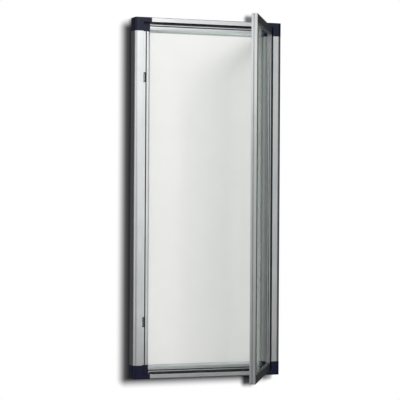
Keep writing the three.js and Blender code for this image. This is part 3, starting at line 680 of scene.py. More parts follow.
def screw_tree() -> Tree:
    """Builds the tree that puts a countersunk screw, with a cross recess and a thread, on each point.

    Returns:
        The tree.
    """
    sizes = ("Head Radius", "Shank Radius", "Length", "Pitch")
    tree, given = new_tree("countersunk_screw", {label: "NodeSocketFloat" for label in sizes})
    at: dict[object, object] = {label: socket_of(given.outputs, label) for label in sizes}
    for label, first, operation, second in (
        ("rim", "Head Radius", "MULTIPLY", 0.125),
        ("taper", "Head Radius", "MULTIPLY", 0.375),
        ("neck", "rim", "ADD", "taper"),
        ("core", "Shank Radius", "MULTIPLY", 0.8),
        ("run", "Length", "SUBTRACT", "neck"),
        ("straight", "run", "SUBTRACT", "Shank Radius"),
        ("turns", "straight", "DIVIDE", "Pitch"),
        ("half rim", "rim", "MULTIPLY", 0.5),
        ("tip start", "neck", "ADD", "straight"),
        ("ridge", "Shank Radius", "SUBTRACT", "core"),
        ("slot length", "Head Radius", "MULTIPLY", 1.15),
        ("slot width", "Head Radius", "MULTIPLY", 0.24),
        ("slot depth", "Head Radius", "MULTIPLY", 0.5),
    ):
        terms = {0: at[first], 1: at.get(second, second)}
        at[label] = add_node(tree, "ShaderNodeMath", terms, operation=operation)
    turn = {"Start Radius": at["core"], "End Radius": at["core"], "Height": at["straight"]}
    helix = add_node(tree, "GeometryNodeCurveSpiral", {"Resolution": 16, "Rotations": at["turns"], **turn})
    diamond = {"Resolution": 4, "Radius": at["ridge"]}
    ridge = add_node(tree, "GeometryNodeCurvePrimitiveCircle", diamond, mode="RADIUS")
    thread = {"Curve": helix, "Profile Curve": socket_of(ridge.outputs, "Curve"), "Fill Caps": True}
    head = {"Vertices": ROUND_STEPS, "Radius": at["Head Radius"], "Depth": at["rim"]}
    parts = [(add_node(tree, "GeometryNodeMeshCylinder", head), "half rim")]
    for steps, foot, top, depth, start in (
        (ROUND_STEPS, at["Head Radius"], at["Shank Radius"], "taper", "rim"),
        (SHANK_STEPS, at["core"], at["core"], "straight", "neck"),
        (SHANK_STEPS, at["core"], 0.0, "Shank Radius", "tip start"),
    ):
        cone = {"Vertices": steps, "Radius Bottom": foot, "Radius Top": top, "Depth": at[depth]}
        parts.append((add_node(tree, "GeometryNodeMeshCone", cone), start))
    parts.append((add_node(tree, "GeometryNodeCurveToMesh", thread), "neck"))
    solids = []
    for part, start in parts:
        lift = add_node(tree, "ShaderNodeCombineXYZ", {"Z": at[start]})
        raised = {"Geometry": socket_of(part.outputs, "Mesh"), "Translation": lift}
        solids.append(add_node(tree, "GeometryNodeTransform", raised))
    bars = []
    for x, y in (("slot length", "slot width"), ("slot width", "slot length")):
        size = add_node(tree, "ShaderNodeCombineXYZ", {"X": at[x], "Y": at[y], "Z": at["slot depth"]})
        bars.append(socket_of(add_node(tree, "GeometryNodeMeshCube", {"Size": size}).outputs, "Mesh"))
    joined = {1: solids}
    whole = add_node(tree, "GeometryNodeMeshBoolean", joined, operation="UNION", solver="MANIFOLD")
    cut = {0: whole, 1: bars}
    screw = add_node(tree, "GeometryNodeMeshBoolean", cut, operation="DIFFERENCE", solver="MANIFOLD")
    points = socket_of(given.outputs, "Geometry")
    places = {"Points": points, "Instance": screw, "Rotation": (math.pi / 2, 0.0, 0.0)}
    end_tree(tree, given, add_node(tree, "GeometryNodeInstanceOnPoints", places))
    return tree


def merged_copy(node: str) -> Solid:
    """Copies a CAD node's mesh, with its doubles merged and its flat faces joined.

    Args:
        node: The CAD node's name.

    Returns:
        The copy, in the object's own frame.
    """
    copy = bmesh.new()
    copy.from_mesh(frame["nodes"][node].data)
    bmesh.ops.remove_doubles(copy, verts=copy.verts, dist=WELD)
    bmesh.ops.dissolve_limit(copy, angle_limit=FLAT_ANGLE, verts=copy.verts, edges=copy.edges)
    return copy


def to_mesh(name: str, shape: Solid) -> Mesh:
    """Turns a bmesh into a mesh and frees it.

    Args:
        name: The mesh's name.
        shape: The bmesh.

    Returns:
        The mesh.
    """
    mesh = bpy.data.meshes.new(name)
    shape.to_mesh(mesh)
    shape.free()
    return mesh


def baked(name: str, mesh: Mesh, kind: str, settings: dict[str, object]) -> Mesh:
    """Runs a modifier on a mesh and keeps the plain result.

    Args:
        name: The name of the object that carries the modifier.
        mesh: The mesh to start from.
        kind: The modifier's type.
        settings: Its settings. A key that starts with Socket is an input of its tree.

    Returns:
        The new mesh.
    """
    carrier = put(name, mesh)
    modifier = carrier.modifiers.new(kind, kind)
    for key, value in settings.items():
        if key.startswith("Socket"):
            modifier[key] = value
        else:
            setattr(modifier, key, value)
    graph = bpy.context.evaluated_depsgraph_get()
    result = bpy.data.meshes.new_from_object(carrier.evaluated_get(graph))
    carrier.modifiers.clear()
    bpy.data.objects.remove(carrier)
    return result


def grown(name: str, mesh: Mesh, tree: Tree, values: dict[str, object]) -> Mesh:
    """Runs a geometry tree on a mesh.

    Args:
        name: The name of the object that carries the tree.
        mesh: The mesh to start from.
        tree: The tree.
        values: The value of each of its inputs, by the input's name.

    Returns:
        The new mesh.
    """
    items = [item for item in tree.interface.items_tree if item.in_out == "INPUT"]
    sockets = {item.name: item.identifier for item in items}
    inputs = {sockets[label]: value for label, value in values.items()}
    return baked(name, mesh, "NODES", {"node_group": tree, **inputs})


def settle(name: str, mesh: Mesh, finish: Finish, body: str, *nodes: str) -> None:
    """Puts a mesh into the scene as a finished piece, in place of its CAD nodes.

    Args:
        name: The piece's name.
        mesh: Its shape, in the object's own frame.
        finish: Its finish.
        body: The CAD body that it moves with.
        *nodes: The CAD nodes that it stands for.
    """
    mesh.shade_smooth()
    mesh.set_sharp_from_angle(angle=SMOOTH_ANGLE)
    mesh = baked(name, mesh, "WEIGHTED_NORMAL", {"keep_sharp": True, "weight": 80})
    mesh.name = name
    mesh.materials.clear()
    mesh.materials.append(finish.material())
    piece = put(name, mesh)
    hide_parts(*nodes)
    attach(piece, body)
    LOG.info("%s: %d faces, on %s, for %s", name, len(mesh.polygons), body, ", ".join(nodes))


def edged_copy(node: str, made: str, finish: Finish, body: str, edge: float, segments: int = 2) -> None:
    """Makes a piece from a CAD node, with its sharp edges broken.

    The break is narrower than asked where short edges lie close to it, so that no faces overlap.

    Args:
        node: The CAD node.
        made: What the piece's name adds to the node's: how it was made, or its kind.
        finish: Its finish.
        body: The CAD body that it moves with.
        edge: The width of the broken edge in millimetres, at most.
        segments: The steps across the broken edge.
    """
    name = f"{node}_{made}"
    bevel = {
        "width": edge * MM,
        "segments": segments,
        "limit_method": "ANGLE",
        "angle_limit": BREAK_ANGLE,
        "use_clamp_overlap": True,
    }
    mesh = baked(name, to_mesh(name, merged_copy(node)), "BEVEL", bevel)
    settle(name, mesh, finish, body, node)


def section_of(node: str, place: Matrix) -> Mesh:
    """Cuts a CAD node at the middle of its length, and keeps the outline of the cut.

    Args:
        node: The CAD node's name.
        place: The matrix from the bar's own axes, length along Z, to the object's frame.

    Returns:
        The outline as loops of edges at Z = 0, with no point along a straight run.
    """
    copy = merged_copy(node)
    copy.transform(place.inverted())
    bmesh.ops.bisect_plane(
        copy,
        geom=[*copy.verts, *copy.edges, *copy.faces],
        plane_co=(0, 0, 0),
        plane_no=(0, 0, 1),
        clear_inner=True,
        clear_outer=True,
    )
    bmesh.ops.remove_doubles(copy, verts=copy.verts, dist=WELD)
    straight = [v for v in copy.verts if len(v.link_edges) == 2 and is_straight(v)]
    bmesh.ops.dissolve_verts(copy, verts=straight)
    for vertex in copy.verts:
        vertex.co.z = 0
    return to_mesh(node + "_section", copy)


def is_straight(vertex: bmesh.types.BMVert) -> bool:
    """Says whether a point of a loop lies on a straight run."""
    before, after = (edge.other_vert(vertex).co - vertex.co for edge in vertex.link_edges)
    return before.angle(-after) < FLAT_ANGLE


def run_axes(along: Vector, middle: Vector) -> Matrix:
    """Gives the matrix from a bar's own axes, length along Z, to the object's frame.

    Args:
        along: The direction of the bar.
        middle: The middle of its length.

    Returns:
        The matrix.
    """
    second = Vector((0, 1, 0)) if abs(along.z) > 0.5 else Vector((0, 0, 1))
    turn = Matrix((second.cross(along), second, along)).transposed().to_4x4()
    return Matrix.Translation(middle) @ turn


def points_of(node: str, place: Matrix) -> list[Vector]:
    """Gives a CAD node's points in another frame."""
    back = place.inverted()
    return [back @ vertex.co for vertex in frame["nodes"][node].data.vertices]


def span(node: str, place: Matrix, axis: int) -> tuple[float, float]:
    """Gives the lowest and highest value of a CAD node along one axis of another frame."""
    values = [point[axis] for point in points_of(node, place)]
    return min(values), max(values)


def middle_of(node: str) -> Vector:
    """Gives the middle of a CAD node's box."""
    low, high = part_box(node)
    return (low + high) / 2


class Cutters:
    """Closed solids that are taken away from a bar, drawn in the bar's own axes."""

    def __init__(self, place: Matrix) -> None:
        """Starts with none, in the axes that the matrix brings to the object's frame."""
        self.shape = bmesh.new()
        self.back = place.inverted()

    def _add(self, made: Solid, matrix: Matrix) -> None:
        """Adds a solid, with its faces outwards.

        Args:
            made: The solid.
            matrix: The matrix from the solid's frame to the object's.
        """
        made.transform(self.back @ matrix)
        bmesh.ops.recalc_face_normals(made, faces=made.faces)
        if made.calc_volume(signed=True) < 0:
            bmesh.ops.reverse_faces(made, faces=made.faces)
        mesh = to_mesh("cutter", made)
        self.shape.from_mesh(mesh)
        bpy.data.meshes.remove(mesh)

    def block(self, matrix: Matrix, low: Vector, high: Vector) -> None:
        """Adds a box.

        Args:
            matrix: The matrix from the box's frame to the object's.
            low: Its lowest corner.
            high: Its highest corner.
        """
        made = bmesh.new()
        bmesh.ops.create_cube(made, size=1)
        made.transform(Matrix.Translation((low + high) / 2) @ Matrix.Diagonal((high - low).to_4d()))
        self._add(made, matrix)

    def bore(self, matrix: Matrix, radius: float, middle: Vector, depth: float, axis: str) -> None:
        """Adds a cylinder.

        Args:
            matrix: The matrix from the cylinder's frame to the object's.
            radius: Its radius.
            middle: Its middle.
            depth: Its whole length.
            axis: Y or Z, the axis that it lies along.
        """
        made = bmesh.new()
        size = {"radius1": radius, "radius2": radius, "depth": depth}
        bmesh.ops.create_cone(made, cap_ends=True, segments=ROUND_STEPS, **size)
        turn = Matrix.Rotation(math.pi / 2, 4, "X") if axis == "Y" else Matrix.Identity(4)
        made.transform(Matrix.Translation(middle) @ turn)
        self._add(made, matrix)

    def prism(self, matrix: Matrix, outline: list[tuple[float, float]], low: float, high: float) -> None:
        """Adds an upright prism.

        Args:
            matrix: The matrix from the prism's frame to the object's.
            outline: Its closed outline in X and Y.
            low: The height of its foot.
            high: The height of its top.
        """
        made = bmesh.new()
        foot = made.faces.new([made.verts.new((x, y, low)) for x, y in outline])
        top = bmesh.ops.extrude_face_region(made, geom=[foot])["geom"]
        moved = [part for part in top if isinstance(part, bmesh.types.BMVert)]
        bmesh.ops.translate(made, verts=moved, vec=(0, 0, high - low))
        self._add(made, matrix)

    def as_object(self) -> Piece | None:
        """Turns the solids into one object that a tree can read.

        Returns:
            The object, or None where there are no solids.
        """
        if not self.shape.verts:
            self.shape.free()
            return None
        return put("cutters", to_mesh("cutters", self.shape))


@dataclass(frozen=True)
class Run:
    """One run of extrusion or of sealing strip, drawn again from the section of its CAD node.

    Its ends are mitred towards inward, or square where inward is zero.
    """

    node: str
    along: Vector
    inward: Vector
    corner_radius: float

    def axes(self) -> Matrix:
        """Gives the matrix from the run's own axes, with their origin in its middle.

        Returns:
            The matrix to the object's frame.
        """
        turn = run_axes(self.along, Vector())
        spans = [span(self.node, turn, axis) for axis in range(3)]
        return turn @ Matrix.Translation([(low + high) / 2 for low, high in spans])

    def build(self, tree: Tree, cutters: Cutters, finish: Finish) -> Mesh:
        """Draws the run.

        Args:
            tree: The tree of an extruded bar.
            cutters: What is taken away.
            finish: The finish of its faces.

        Returns:
            Its mesh, in the object's own frame.
        """
        place = self.axes()
        slope = place.inverted().to_3x3() @ self.inward
        values = {
            "Half Length": max(point.z + point.dot(slope) for point in points_of(self.node, place)),
            "Mitre": tuple(slope),
            "Corner Radius": self.corner_radius * MM,
            "Finish": finish.material(),
        }
        carrier = cutters.as_object()
        if carrier is not None:
            values["Cutters"] = carrier
        mesh = grown(self.node, section_of(self.node, place), tree, values)
        if carrier is not None:
            bpy.data.objects.remove(carrier)
        mesh.transform(place)
        return mesh


@dataclass
class Case:
    """The case on the wall: four extruded runs, their seals, the white sheet and the board behind it."""

    corner_radius: float = 0.28
    seal_radius: float = 0.12
    screw_clearance: float = 0.3
    screw_bore_length: float = 4.5
    slot_height: float = 26.0
    slot_start: float = 27.2
    slot_end: float = 35.2
    slot_floor: float = 3.5
    slot_mouth: float = 18.4
    sheet_edge: float = 0.15

    def build(self, tree: Tree) -> None:
        """Builds and dresses every piece of the case.

        Args:
            tree: The tree of an extruded bar.
        """
        for side in SIDES:
            self.run(tree, "case_stile_" + side, UP, AnodisedAluminium(Grain.UPRIGHT))
            self.seal(tree, "door_seal_" + side, UP)
        for end in ENDS:
            self.run(tree, "case_rail_" + end, RIGHT, AnodisedAluminium(Grain.LEVEL))
            self.seal(tree, "door_seal_" + end, RIGHT)
        edged_copy("steel_sheet", "enamelled", EnamelledSteel(), "root", self.sheet_edge)
        edged_copy("backing_board", "pressed", Fibreboard(), "root", self.sheet_edge)

    def run(self, tree: Tree, node: str, along: Vector, finish: Finish) -> None:
        """Draws one stile or rail, with the holes of its cap screws and the slots of the lock.

        Args:
            tree: The tree of an extruded bar.
            node: The CAD node.
            along: The direction of the bar.
            finish: Its finish.
        """
        run = Run(node, along, Vector(), self.corner_radius)
        cutters = Cutters(run.axes())
        _, kind, end = node.split("_")
        for corner in CORNERS:
            if end in corner.split("_"):
                low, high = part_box(f"{kind}_screw_{corner}")
                radius = (high.x - low.x) / 2 + self.screw_clearance * MM
                middle = Vector(((low.x + high.x) / 2, 0, (low.z + high.z) / 2))
                cutters.bore(Matrix.Identity(4), radius, middle, self.screw_bore_length * MM, "Y")
        if node == "case_stile_left":
            self.claw_slots(cutters)
        settle(node + "_extrusion", run.build(tree, cutters, finish), finish, "root", node)

    def claw_slots(self, cutters: Cutters) -> None:
        """Adds the two slots that the claws swing out of.

        Args:
            cutters: What is taken away from the left stile.
        """
        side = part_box("corner_cap_top_left")[0].x
        half = self.slot_height * MM / 2
        for claw in CLAWS:
            z = middle_of("lock_claw_" + claw).z
            low = Vector((side + self.slot_start * MM, -self.slot_mouth * MM, z - half))
            high = Vector((side + self.slot_end * MM, -self.slot_floor * MM, z + half))
            cutters.block(Matrix.Identity(4), low, high)

    def seal(self, tree: Tree, node: str, along: Vector) -> None:
        """Draws one length of the door seal.

        Args:
            tree: The tree of an extruded bar.
            node: The CAD node.
            along: The direction of the strip.
        """
        run = Run(node, along, Vector(), self.seal_radius)
        mesh = run.build(tree, Cutters(run.axes()), Rubber())
        settle(node + "_strip", mesh, Rubber(), "root", node)


@dataclass
class Corners:
    """The plastic caps with their hanger plates, screws and pivot bushes."""

    cap_edge: float = 0.35
    cap_segments: int = 3
    plate_edge: float = 0.18
    shank_radius: float = 1.3
    thread_pitch: float = 1.1

    def build(self, tree: Tree) -> None:
        """Builds and dresses every piece of the corners.

        Args:
            tree: The tree of a countersunk screw.
        """
        plastic, steel = MouldedPlastic(), ZincPlatedSteel()
        for corner in CORNERS:
            edged_copy("corner_cap_" + corner, "moulding", plastic, "root", self.cap_edge, self.cap_segments)
            edged_copy("hanger_plate_" + corner, "pressing", steel, "root", self.plate_edge)
        for end in ENDS:
            edged_copy("pivot_bush_" + end, "sleeve", Nylon(), "root", self.plate_edge)
        self.screws(tree, "cap_screws", [f"{kind}_screw_{c}" for kind in ("stile", "rail") for c in CORNERS])
        self.screws(tree, "plate_screws", ["hanger_screw_" + corner for corner in CORNERS])

    def screws(self, tree: Tree, name: str, nodes: list[str]) -> None:
        """Makes one mesh of screws that all have the size of the first node.

        Args:
            tree: The tree of a countersunk screw.
            name: The piece's name.
            nodes: The CAD nodes, one for each screw.
        """
        points = bmesh.new()
        for node in nodes:
            low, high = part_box(node)
            points.verts.new(((low.x + high.x) / 2, high.y, (low.z + high.z) / 2))
        low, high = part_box(nodes[0])
        values = {
            "Head Radius": (high.x - low.x) / 2,
            "Shank Radius": self.shank_radius * MM,
            "Length": high.y - low.y,
            "Pitch": self.thread_pitch * MM,
            "Finish": ZincPlatedSteel().material(),
        }
        mesh = grown(name, to_mesh(name, points), tree, values)
        settle(name, mesh, ZincPlatedSteel(), "root", *nodes)


@dataclass
class Door:
    """The glazed door: four mitred runs, the keys inside them, the pane with its seal, and the pins."""

    corner_radius: float = 0.25
    thickness: float = 15.2
    nose_steps: int = 20
    slot_start: float = 4.5
    slot_width: float = 5.6
    slot_depth: float = 2.5
    slot_height: float = 26.0
    pin_clearance: float = 0.3
    overrun: float = 2.0
    small_edge: float = 0.25
    seal_edge: float = 0.125
    pane_edge: float = 0.3

    def __post_init__(self) -> None:
        """Works out the frame of the leaf: its origin on the pivot, X along its width, Y to its back."""
        hinge = next(joint for joint in frame["joints"] if joint["name"] == "door_hinge")
        self.open_angle = -math.radians(hinge["range_deg"][0])
        self.leaf = Matrix.Translation(hinge["pos_m"]) @ Matrix.Rotation(self.open_angle, 4, "Z")
        self.across = self.leaf.to_3x3() @ RIGHT

    def build(self, tree: Tree) -> None:
        """Builds and dresses every piece of the door.

        Args:
            tree: The tree of an extruded bar.
        """
        steel = ZincPlatedSteel()
        upright = AnodisedAluminium(Grain.UPRIGHT)
        level = AnodisedAluminium(Grain.ALONG_DOOR, self.open_angle)
        self.run(tree, "door_stile_free", UP, self.across, upright)
        self.run(tree, "door_stile_hinge", UP, -self.across, upright)
        for end, sign in zip(ENDS, (-1, 1)):
            self.run(tree, "door_rail_" + end, self.across, UP * sign, level)
            edged_copy("pivot_pin_" + end, "turned", steel, "door", self.small_edge)
        for corner in CORNERS:
            edged_copy("door_key_" + corner, "cast", steel, "door", self.small_edge)
        edged_copy("glazing_seal", "channel", Rubber(), "door", self.seal_edge)
        edged_copy("door_pane", "glass", FloatGlass(), "door", self.pane_edge)

    def run(self, tree: Tree, node: str, along: Vector, inward: Vector, finish: Finish) -> None:
        """Draws one stile or rail of the door.

        Args:
            tree: The tree of an extruded bar.
            node: The CAD node.
            along: The direction of the bar.
            inward: The direction from the bar to the middle of the door.
            finish: Its finish.
        """
        run = Run(node, along, inward, self.corner_radius)
        cutters = Cutters(run.axes())
        if node == "door_stile_free":
            self.claw_slots(cutters)
        if along is not UP:
            self.hinge_end(cutters, node)
        settle(node + "_extrusion", run.build(tree, cutters, finish), finish, "door", node)

    def claw_slots(self, cutters: Cutters) -> None:
        """Adds the two slots in the back of the free stile, which the claws hook into.

        Args:
            cutters: What is taken away from the free stile.
        """
        edge = span("door_stile_free", self.leaf, 0)[0]
        back = self.thickness * MM / 2
        for claw in CLAWS:
            z = middle_of("lock_claw_" + claw).z - self.leaf.translation.z
            foot = z - self.slot_height * MM / 2
            low = Vector((edge + self.slot_start * MM, back - self.slot_depth * MM, foot))
            high = low + Vector((self.slot_width, self.slot_depth + self.overrun, self.slot_height)) * MM
            cutters.block(self.leaf, low, high)

    def hinge_end(self, cutters: Cutters, node: str) -> None:
        """Adds what rounds the hinge end of a rail over, and the bore for its pin.

        Args:
            cutters: What is taken away from the rail.
            node: The rail's CAD node.
        """
        nose = self.thickness * MM / 2
        beyond = self.overrun * MM
        far = nose + beyond
        turns = [math.pi * (step / self.nose_steps - 0.5) for step in range(self.nose_steps + 1)]
        arc = [(nose * math.cos(turn), nose * math.sin(turn)) for turn in turns]
        outline = [(0.0, -far), *arc, (0.0, far), (far, far), (far, -far)]
        low, high = span(node, self.leaf, 2)
        cutters.prism(self.leaf, outline, low - beyond, high + beyond)
        pin_low, pin_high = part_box(node.replace("door_rail", "pivot_pin"))
        radius = (pin_high.x - pin_low.x) / 2 + self.pin_clearance * MM
        middle = Vector((0, 0, (low + high) / 2))
        cutters.bore(self.leaf, radius, middle, high - low + 2 * beyond, "Z")


@dataclass
class Lock:
    """The lock: barrel and plug in the lower left cap, the rod, its claws, screws and guides."""

    fine_edge: float = 0.15
    edge: float = 0.3

    def build(self) -> None:
        """Builds and dresses every piece of the lock."""
        brass, steel = TurnedBrass(), ZincPlatedSteel()
        edged_copy("lock_housing", "barrel", brass, "root", self.fine_edge)
        edged_copy("lock_plug", "turned", brass, "lock", self.fine_edge)
        edged_copy("lock_rod", "drawn", steel, "lock", self.edge)
        for claw in CLAWS:
            edged_copy("lock_claw_" + claw, "pressed", steel, "lock", self.fine_edge)
            edged_copy("claw_screw_" + claw, "turned", steel, "lock", self.fine_edge)
        for guide in ("top", "middle"):
            edged_copy("rod_guide_" + guide, "block", Nylon(), "root", self.edge)


@dataclass(frozen=True)
class Viewpoint:
    """The photograph's camera, fitted to the corners of the case and of the open door.

    Its angles are in degrees, and its centre is the pixel that it looks at in a square image.
    """

    left_of_square: float = 20.82
    distance: float = 4.426
    focal_pixels: float = 1653.0
    roll: float = 0.345
    centre_x: float = 204.38
    centre_y: float = 198.48
    image: float = 400.0
    sensor: float = 36.0

    def build(self, target: Vector) -> None:
        """Makes the scene's camera.

        Args:
            target: The middle of the case on the wall.
        """
        data = bpy.data.cameras.new("photo_camera")
        data.sensor_width = self.sensor
        data.lens = self.focal_pixels / self.image * self.sensor
        data.shift_x = (self.image / 2 - self.centre_x) / self.image
        data.shift_y = (self.centre_y - self.image / 2) / self.image
        data.clip_start = 0.05
        data.clip_end = 50.0
        camera = put("photo_camera", data)
        angle = math.radians(self.left_of_square)
        place = target - self.distance * Vector((math.sin(angle), math.cos(angle), 0))
        camera.matrix_world = (
            Matrix.Translation(place)
            @ Matrix.Rotation(-angle, 4, "Z")
            @ Matrix.Rotation(math.pi / 2, 4, "X")
            @ Matrix.Rotation(math.radians(self.roll), 4, "Z")
        )
        bpy.context.scene.camera = camera


@dataclass(frozen=True)
class Softbox:
    """A soft light with a rectangular face, aimed at the middle of the case.

    Its angles are in degrees. The azimuth turns from the front of the case to its right.
    """

    name: str
    azimuth: float
    elevation: float
    distance: float
    width: float
    height: float
    radiance: float

    def build(self, target: Vector) -> None:
        """Makes the light.

        Args:
            target: The point that it is aimed at.
        """
        azimuth, elevation = math.radians(self.azimuth), math.radians(self.elevation)
        level = math.cos(elevation)
        toward = Vector((math.sin(azimuth) * level, -math.cos(azimuth) * level, math.sin(elevation)))
        data = bpy.data.lights.new(self.name, "AREA")
        data.shape = "RECTANGLE"
        data.size = self.width
        data.size_y = self.height
        data.energy = math.pi * self.radiance * self.width * self.height
        light = put(self.name, data)
        light.location = target + toward * self.distance
        light.rotation_mode = "QUATERNION"
        light.rotation_quaternion = toward.to_track_quat("Z", "Y")
        light.visible_camera = False


@dataclass(frozen=True)
class Shadow:
    """A soft rectangular shadow on the wall: its middle, half size and blur in millimetres, and its tone."""

    x: float
    z: float
    half_width: float
    half_height: float
    blur: float
    tone: str

    def shade(self, tree: Tree, origin: Vector) -> Node:
        """Adds the wall's tone around the shadow, which fades to white beyond its edges.

        Args:
            tree: The wall's tree.
            origin: The middle of the case, which the shadow's place is measured from.

        Returns:
            The node that holds the tone.
        """
        blur = self.blur * MM
        centre = (origin.x + self.x * MM, 0.0, origin.z + self.z * MM)
        edge = (self.half_width * MM - blur / 2, 1.0, self.half_height * MM - blur / 2)
        place = {0: socket_of(add_node(tree, "ShaderNodeTexCoord").outputs, "Object"), 1: centre}
        moved = add_node(tree, "ShaderNodeVectorMath", place, operation="SUBTRACT")
        folded = add_node(tree, "ShaderNodeVectorMath", {0: moved}, operation="ABSOLUTE")
        beyond = add_node(tree, "ShaderNodeVectorMath", {0: folded, 1: edge}, operation="SUBTRACT")
        none = (0.0, 0.0, 0.0)
        clipped = add_node(tree, "ShaderNodeVectorMath", {0: beyond, 1: none}, operation="MAXIMUM")
        away = add_node(tree, "ShaderNodeVectorMath", {0: clipped}, operation="LENGTH")
        fade = {"Value": socket_of(away.outputs, "Value"), "From Max": blur}
        share = add_node(tree, "ShaderNodeMapRange", fade, interpolation_type="SMOOTHSTEP")
        mix = {"Factor_Float": share, "A_Color": linear(self.tone), "B_Color": WHITE}
        return add_node(tree, "ShaderNodeMix", mix, data_type="RGBA")


